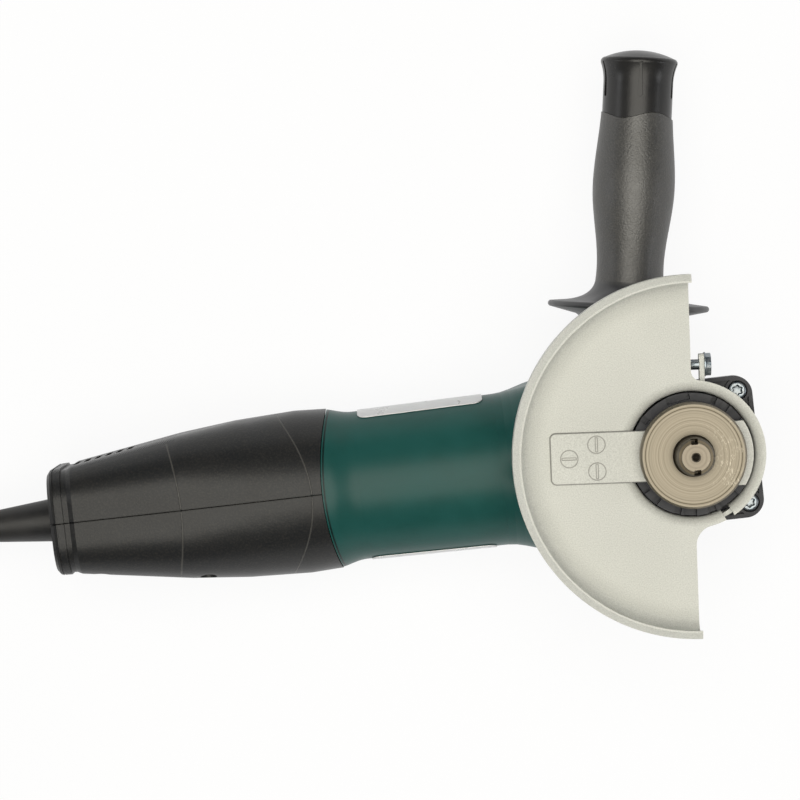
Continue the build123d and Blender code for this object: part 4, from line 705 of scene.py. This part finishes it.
def startSheet(wide, tall, corner, steps):
    # a flat face with round corners, left in edit mode
    clearSelection()
    bpy.ops.mesh.primitive_plane_add(size=1)
    sheet = bpy.context.object
    sheet.scale = (wide, tall, 1)
    bakePlace(sheet)
    startEdit(sheet)
    bpy.ops.mesh.select_all(action="SELECT")
    bpy.ops.mesh.bevel(offset=corner, segments=steps, affect="VERTICES")
    return sheet


def turnOutwards(piece):
    # welds what was drawn double and turns every face outwards
    startEdit(piece)
    bpy.ops.mesh.select_all(action="SELECT")
    bpy.ops.mesh.remove_doubles(threshold=weldReach)
    bpy.ops.mesh.normals_make_consistent(inside=False)
    endEdit()


def joinPieces(pieces, name):
    clearSelection()
    for piece in pieces:
        piece.select_set(True)
    bpy.context.view_layer.objects.active = pieces[0]
    bpy.ops.object.join()
    pieces[0].name = name
    pieces[0].data.name = name
    return pieces[0]


def finishPiece(piece, body, finish):
    makeActive(piece)
    bpy.ops.object.shade_smooth_by_angle(angle=math.radians(sharpAngle))
    piece.data.materials.clear()
    piece.data.materials.append(finish)
    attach(piece, body)


# free route out of the sleeve, a round coil of four layers, and the tail to the plug
cordPlan = {
    "radius": 0.0037, "bevelSteps": 5, "curveSteps": 6,
    "length": 2.42,
    "route": [
        (-0.2895, 0, -0.05), (-0.309, 0, -0.05), (-0.329, -0.0025, -0.052),
        (-0.349, -0.007, -0.0555), (-0.3685, -0.013, -0.0571),
    ],
    "centre": (-0.36, -0.0636),
    "outer": 0.0514,  # radius of the outermost strand
    "top": -0.0571, "spacing": 0.00762, "drop": 0.0074, "layers": 4,
    "turnsInLayer": 1.94, "turnsInDrop": 1 / 3, "startAngle": 100,
    "turns": 8.22, "pointsInTurn": 16,
    "tail": [
        (-0.40733, -0.0636, -0.0793), (-0.40733, -0.0786, -0.0793), (-0.40403, -0.0946, -0.0783),
        (-0.39803, -0.1106, -0.0755), (-0.39073, -0.1246, -0.0755),
    ],
}
coilTiePlan = {
    "angle": 56, "reach": 0.0430, "wide": 0.0206, "low": -0.0829, "high": -0.0529,
    "corner": 0.0042, "cornerSteps": 6,
    "length": 0.009, "thickness": 0.0008, "edge": 0.0002,
}


def makeCoilTie(plan):
    # strap round the coiled cord, made flat across the bundle and drawn out along it
    tie = startSheet(plan["wide"], plan["high"] - plan["low"], plan["corner"], plan["cornerSteps"])
    bpy.ops.mesh.select_all(action="SELECT")
    bpy.ops.mesh.inset(thickness=plan["thickness"], depth=0)
    bpy.ops.mesh.delete(type="FACE")
    bpy.ops.mesh.select_all(action="SELECT")
    push((0, 0, plan["length"]))
    endEdit()
    turnOutwards(tie)
    movePiece(tie, place=(0, 0, -plan["length"] / 2))
    # its flat side stands up across the bundle
    movePiece(tie, turn=(90, 0, 0))
    angle = math.radians(plan["angle"])
    movePiece(tie, (0, 0, plan["angle"]), (
        cordPlan["centre"][0] + plan["reach"] * math.cos(angle),
        cordPlan["centre"][1] + plan["reach"] * math.sin(angle),
        (plan["low"] + plan["high"]) / 2,
    ))
    addBevel(tie, plan["edge"])
    applyAll(tie)
    tie.name = "coilTie"
    finishPiece(tie, "housing", finishes["plug_rubber"])
    return tie


def coilPoints(plan):
    # winds inward on one layer, drops one diameter, and winds outward on the next
    points = []
    across, outward = plan["centre"]
    count = round(plan["turns"] * plan["pointsInTurn"])
    spread = 1 / math.cos(math.pi / plan["pointsInTurn"])
    for step in range(1, count):
        turned = step / plan["pointsInTurn"]
        layer = 0
        while layer < plan["layers"] - 1 and turned > plan["turnsInLayer"] + plan["turnsInDrop"]:
            turned -= plan["turnsInLayer"] + plan["turnsInDrop"]
            layer += 1
        wound = min(turned, plan["turnsInLayer"])
        falling = max(0, turned - plan["turnsInLayer"]) / plan["turnsInDrop"]
        if layer % 2:
            wound = plan["turnsInLayer"] - wound
        reach = (plan["outer"] - wound * plan["spacing"]) * spread
        height = plan["top"] - (layer + falling) * plan["drop"]
        angle = math.radians(plan["startAngle"]) + step / plan["pointsInTurn"] * 2 * math.pi
        points.append((across + reach * math.cos(angle), outward + reach * math.sin(angle), height))
    return points


def makeCord(plan, tie):
    route = plan["route"] + coilPoints(plan) + plan["tail"]
    data = bpy.data.curves.new("mainsCord", "CURVE")
    data.dimensions = "3D"
    line = data.splines.new("NURBS")
    line.points.add(len(route) - 1)
    for point, place in zip(line.points, route):
        point.co = (*place, 1)
    line.order_u = 3
    line.use_endpoint_u = True
    line.resolution_u = plan["curveSteps"]
    data.bevel_depth = plan["radius"]
    data.bevel_resolution = plan["bevelSteps"]
    data.use_fill_caps = True
    cord = bpy.data.objects.new("mainsCord", data)
    bpy.context.collection.objects.link(cord)
    data.materials.append(finishes["cord_rubber"])
    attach(cord, "housing")
    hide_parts("mains_cord", "cord_coil", "cord_tail")


makeCord(cordPlan, makeCoilTie(coilTiePlan))
print("cord laid")


starScrew = {
    "sides": 48, "headRadius": 0.0034, "socketRadius": 0.0018,
    "socketTaper": 0.88, "lobes": 6, "lobe": 0.16,
    "shankRadius": 0.0022, "tip": 0.001, "tipTaper": 0.6,
}
coverScrews = {
    **starScrew, "headHeight": 0.0023, "socketDepth": 0.0015, "crown": 0.0004,
    "shankLength": 0.0150, "edge": 0.00022,
    "seat": -0.0246, "across": 0.0205, "outward": 0.0212, "turns": (12, 47, 83, 24),
}
housingScrews = {
    **starScrew, "headHeight": 0.0016, "socketDepth": 0.0011, "crown": 0.0003,
    "shankLength": 0.0170, "edge": 0.0002,
    "seat": -0.0310, "outward": 0.0276, "heights": (-0.031, -0.072), "turns": (8, 33, 71, 52),
}


def addShank(screw, plan, headRadius, radius, length):
    # draws the shank and its narrower tip out of the head's underside, and bevels the screw
    pickFaces(screw, facesDown)
    bpy.ops.mesh.inset(thickness=headRadius - radius, depth=0)
    push((0, 0, -length))
    push((0, 0, -plan["tip"]))
    scaleAcross(plan["tipTaper"])
    endEdit()
    addBevel(screw, plan["edge"])
    applyAll(screw)


def makeStarScrew(plan):
    # screw along +Z with its head's seat at the origin
    screw = makeRound(plan["sides"], plan["headRadius"], plan["headHeight"])
    top = plan["headHeight"] + plan["crown"]
    border = (plan["headRadius"] - plan["socketRadius"]) / 2
    startEdit(screw)
    pickFaces(screw, facesUp)
    bpy.ops.mesh.inset(thickness=border, depth=plan["crown"])
    bpy.ops.mesh.inset(thickness=border, depth=0)
    # the socket's rim grows and shrinks round the head, which makes the star
    lobeAngle = 360 / plan["lobes"]
    steps = plan["sides"] // plan["lobes"]
    for phase in range(steps):
        grow = 1 + plan["lobe"] * math.cos(2 * math.pi * phase / steps)

        def onPhase(vertex):
            reach = math.hypot(vertex.co.x, vertex.co.y)
            turned = math.degrees(math.atan2(vertex.co.y, vertex.co.x)) % lobeAngle
            offset = (turned - phase * lobeAngle / steps + lobeAngle / 2) % lobeAngle - lobeAngle / 2
            atTop = abs(vertex.co.z - top) < closeHeight
            atRim = abs(reach - plan["socketRadius"]) < closeReach
            return atTop and atRim and abs(offset) < closeTurn

        pickVertices(screw, onPhase)
        scaleAcross(grow, top)
    pickFaces(screw, lambda face: facesUp(face) and face.calc_center_median().xy.length < closeAxis)
    push((0, 0, -plan["socketDepth"]))
    scaleAcross(plan["socketTaper"])
    addShank(screw, plan, plan["headRadius"], plan["shankRadius"], plan["shankLength"])
    return screw


def copyPiece(piece):
    makeActive(piece)
    bpy.ops.object.duplicate(linked=False)
    return bpy.context.object


def placeScrews(plan, places, name, replaced):
    # one screw is made, and a copy goes to each place
    first = makeStarScrew(plan)
    screws = []
    for (place, facing), turn in zip(places, plan["turns"]):
        screw = copyPiece(first)
        movePiece(screw, turn=(0, 0, turn))
        movePiece(screw, (0, facing, 0), place)
        screws.append(screw)
    bpy.data.objects.remove(first)
    joined = joinPieces(screws, name)
    finishPiece(joined, "housing", finishes["zinc_screw"])
    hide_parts(replaced)


placeScrews(
    coverScrews,
    [
        ((end * coverScrews["across"], side * coverScrews["outward"], coverScrews["seat"]), 0)
        for end in (-1, 1) for side in (-1, 1)
    ],
    "coverScrewSet", "cover_screws",
)
placeScrews(
    housingScrews,
    [
        ((housingScrews["seat"], side * housingScrews["outward"], height), 90)
        for side in (-1, 1) for height in housingScrews["heights"]
    ],
    "housingScrewSet", "gear_housing_screws",
)
print("screws made")

spindleThreadPlan = {
    "root": 0.00685, "crest": 0.0072, "pitch": 0.002, "flank": 0.00075, "from": 0.0011,
    "sides": 4, "turns": 4, "steps": 48,
}


def makeThread(plan, name):
    # one ridge or wire wound up the Z axis; a ridge starts inside the rod that carries it
    clearSelection()
    bpy.ops.mesh.primitive_circle_add(
        vertices=plan["sides"], radius=1, fill_type="NOTHING", rotation=(math.radians(90), 0, 0),
    )
    creaseHighlight = bpy.context.object
    bakePlace(creaseHighlight)
    creaseHighlight.scale = (plan["crest"] - plan["root"], 1, plan["flank"])
    creaseHighlight.location = (plan["root"], 0, plan["from"])
    bakePlace(creaseHighlight)
    winding = creaseHighlight.modifiers.new("winding", "SCREW")
    winding.screw_offset = plan["pitch"]
    winding.iterations = plan["turns"]
    winding.steps = plan["steps"]
    winding.render_steps = plan["steps"]
    winding.use_merge_vertices = False
    applyAll(creaseHighlight)
    startEdit(creaseHighlight)
    bpy.ops.mesh.select_mode(type="EDGE")
    bpy.ops.mesh.select_non_manifold()
    bpy.ops.mesh.fill_holes(sides=plan["sides"])
    bpy.ops.mesh.select_all(action="SELECT")
    bpy.ops.mesh.normals_make_consistent(inside=False)
    endEdit()
    creaseHighlight.name = name
    return creaseHighlight


spindleThread = makeThread(spindleThreadPlan, "spindleThread")
finishPiece(spindleThread, "spindle_group", finishes["spindle_steel"])

clampScrewPlan = {
    "sides": 48, "radius": 0.00425, "height": 0.0019, "washerRadius": 0.00455,
    "washerHeight": 0.0007, "knurl": 0.955,
    "rim": 0.0012, "dish": 0.0009, "dishWall": 0.0003, "socket": 0.0008,
    "rodRadius": 0.00195, "rodLength": 0.0193,
    "tip": 0.0006, "tipTaper": 0.75, "edge": 0.00018,
    "thread": {
        "root": 0.0019, "crest": 0.00218, "pitch": 0.0008, "flank": 0.00032, "from": -0.0192,
        "sides": 4, "turns": 17, "steps": 32,
    },
    "place": (0.006, 0.0332, -0.0168), "turn": -4.4,
}


def makeClampScrew(plan):
    # knurled head on a washer with a threaded rod, along +Z with the washer's seat at the origin
    screw = makeRound(plan["sides"], plan["washerRadius"], plan["washerHeight"])
    startEdit(screw)
    pickFaces(screw, facesUp)
    bpy.ops.mesh.inset(thickness=plan["washerRadius"] - plan["radius"], depth=0)
    push((0, 0, plan["height"]))
    bpy.ops.mesh.inset(thickness=plan["rim"], depth=0)
    bpy.ops.mesh.inset(thickness=plan["dishWall"], depth=-plan["dish"])
    bpy.ops.mesh.inset(thickness=plan["socket"], depth=0)
    push((0, 0, -plan["socket"]))
    # every other pair of edges goes in, which leaves upright ridges round the head
    pitch = 360 / plan["sides"]

    def onHead(vertex):
        turned = round(math.degrees(math.atan2(vertex.co.y, vertex.co.x)) / pitch)
        atWall = abs(math.hypot(vertex.co.x, vertex.co.y) - plan["radius"]) < closeReach
        return turned % 4 in (0, 1) and atWall and vertex.co.z > plan["washerHeight"] - closeHeight

    pickVertices(screw, onHead)
    scaleAcross(plan["knurl"])
    addShank(screw, plan, plan["washerRadius"], plan["rodRadius"], plan["rodLength"])
    screw = joinPieces([screw, makeThread(plan["thread"], "rodThread")], "clampScrew")
    movePiece(screw, (0, 90, 0), plan["place"])
    movePiece(screw, turn=(0, 0, plan["turn"]))
    finishPiece(screw, "guard_group", finishes["zinc_screw"])
    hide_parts("clamp_screw")


makeClampScrew(clampScrewPlan)
print("threads made")

returnSprings = {
    "switchSpring": {
        "root": 0.00235, "crest": 0.0027, "flank": 0.00035, "pitch": 0.00228,
        "from": 0.0004, "turns": 6, "steps": 32,
        "sides": 8, "turn": 90, "place": (-0.1725, 0, -0.0746), "axis": (1, 0, 0), "keep": 0.517,
        "body": "switch_group", "joint": "switch_slide", "node": "switch_spring",
    },
    "lockSpring": {
        "root": 0.0027, "crest": 0.00307, "flank": 0.00037, "pitch": 0.002,
        "from": 0.00045, "turns": 6, "steps": 32,
        "sides": 8, "turn": 0, "place": (0.0114, 0, -0.080), "axis": (0, 0, 1), "keep": 0.731,
        "body": "lock_group", "joint": "spindle_lock_slide", "node": "lock_spring",
    },
}


def makeSpring(plan, name):
    # a wound spring that rides with its moving end
    spring = makeThread(plan, name)
    movePiece(spring, (0, plan["turn"], 0), plan["place"])
    finishPiece(spring, plan["body"], finishes["spring_steel"])
    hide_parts(plan["node"])
    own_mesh(spring)


for springName, springPlan in returnSprings.items():
    makeSpring(springPlan, springName)
print("springs made")

plateSheet = {
    "corner": 0.003, "cornerSteps": 6, "cuts": 24, "away": 0.036, "proud": 0.0002,
    "thickness": 0.0003, "edge": 0.00008,
}
sidePlates = {
    "sidePlateRight": {
        **plateSheet, "side": 1, "centre": (-0.0990, -0.050), "size": (0.048, 0.0235),
    },
    "sidePlateLeft": {
        **plateSheet, "side": -1, "centre": (-0.0995, -0.050), "size": (0.048, 0.0175),
    },
}


def makePlate(plan, name):
    # a thin bare plate bent round the barrel's side
    across, height = plan["centre"]
    wide, tall = plan["size"]
    plate = startSheet(wide, tall, plan["corner"], plan["cornerSteps"])
    for cut in range(1, plan["cuts"]):
        share = cut / plan["cuts"] - 0.5
        rowCut = (0, tall * share, 0), (0, 1, 0)
        columnCut = (wide * share, 0, 0), (1, 0, 0)
        for place, direction in (rowCut, columnCut):
            bpy.ops.mesh.select_all(action="SELECT")
            bpy.ops.mesh.bisect(plane_co=place, plane_no=direction)
    endEdit()
    movePiece(plate, (90 * plan["side"], 0, 0), (across, plan["side"] * plan["away"], height))
    wrap = plate.modifiers.new("wrap", "SHRINKWRAP")
    wrap.target = nodes["motor_housing"]
    wrap.wrap_method = "PROJECT"
    wrap.use_project_y = True
    wrap.use_negative_direction = True
    wrap.use_positive_direction = True
    wrap.offset = plan["proud"]
    applyAll(plate)
    startEdit(plate)
    bpy.ops.mesh.select_mode(type="FACE")
    bpy.ops.mesh.select_all(action="SELECT")
    push((0, plan["side"] * plan["thickness"], 0))
    endEdit()
    turnOutwards(plate)
    addBevel(plate, plan["edge"], 1)
    applyAll(plate)
    plate.name = name
    finishPiece(plate, "housing", plateFinish)


for plateName, platePlan in sidePlates.items():
    makePlate(platePlan, plateName)
print("side plates made")

stagePlan = {
    "floor": -0.0831, "size": 8.0, "colour": (0.93, 0.93, 0.93), "roughness": 0.9, "glow": 0.9,
}


def addRays(tree):
    # 1 for rays from the camera and for what metal and glass show
    ray = tree.nodes.new("ShaderNodeLightPath")
    seen = useMath(tree, "MAXIMUM", ray.outputs["Is Camera Ray"], ray.outputs["Is Glossy Ray"])
    return useMath(tree, "MAXIMUM", seen, ray.outputs["Is Transmission Ray"])


def makeFloor(plan):
    clearSelection()
    bpy.ops.mesh.primitive_plane_add(size=plan["size"], location=(0, 0, plan["floor"]))
    floor = bpy.context.object
    floor.name = "paleFloor"
    finish, tree, shader = startFinish("paleFloor", plan["roughness"])
    shader.inputs["Base Color"].default_value = (*plan["colour"], 1)
    glow = tree.nodes.new("ShaderNodeEmission")
    glow.inputs["Strength"].default_value = 1.0
    blend = tree.nodes.new("ShaderNodeMixShader")
    tree.links.new(useMath(tree, "MULTIPLY", addRays(tree), plan["glow"]), blend.inputs["Fac"])
    tree.links.new(shader.outputs["BSDF"], blend.inputs[1])
    tree.links.new(glow.outputs["Emission"], blend.inputs[2])
    tree.links.new(blend.outputs["Shader"], tree.nodes["Material Output"].inputs["Surface"])
    floor.data.materials.append(finish)


# white wall at the horizon, a dark band over it and a grey ceiling;
# a band's place is the sine of its angle above the horizon
worldPlan = {
    "strength": 1.0,
    "bands": (
        (0.0, (1, 1, 1)), (0.15, (1, 1, 1)),
        (0.20, (0.09, 0.10, 0.115)), (0.66, (0.11, 0.12, 0.13)),
        (0.80, (0.28, 0.28, 0.29)), (1.0, (0.28, 0.28, 0.29)),
    ),
}


def makeWorld(plan):
    world = bpy.data.worlds.new("studio")
    world.use_nodes = True
    tree = world.node_tree
    back = tree.nodes["Background"]
    place = tree.nodes.new("ShaderNodeTexCoord")
    height = splitPlace(tree, place.outputs["Generated"])[2]
    tree.links.new(mixColours(tree, height, *plan["bands"]), back.inputs["Color"])
    back.inputs["Strength"].default_value = plan["strength"]
    bpy.context.scene.world = world


# all lamps face the tool
lampAim = (-0.10, 0.02)
lampPlans = [
    {
        "name": "ceilingLamp", "place": (-0.10, 0.02, 1.75),
        "size": 1.88, "power": 31.5, "colour": (1.0, 0.965, 0.87),
    },
    {
        "name": "frontLamp", "place": (2.2, -0.5, 0.9),
        "size": 0.8, "power": 5.0, "colour": (0.97, 0.98, 1.0),
    },
    {
        "name": "rearLamp", "place": (-2.4, 0.4, 0.9),
        "size": 0.8, "power": 5.0, "colour": (0.97, 0.98, 1.0),
    },
]


def makeLamp(plan):
    data = bpy.data.lights.new(plan["name"], "AREA")
    data.shape = "DISK"
    data.size = plan["size"]
    data.energy = plan["power"]
    data.color = plan["colour"]
    lamp = bpy.data.objects.new(plan["name"], data)
    lamp.location = plan["place"]
    aim = lamp.location.copy()
    aim.x -= lampAim[0]
    aim.y -= lampAim[1]
    lamp.rotation_euler = aim.to_track_quat("Z", "Y").to_euler()
    lamp.visible_camera = False
    bpy.context.collection.objects.link(lamp)


makeFloor(stagePlan)
makeWorld(worldPlan)
for lampPlan in lampPlans:
    makeLamp(lampPlan)
print("stage and lamps set")

bpy.context.scene.view_settings.view_transform = "Standard"
bpy.context.view_layer.update()
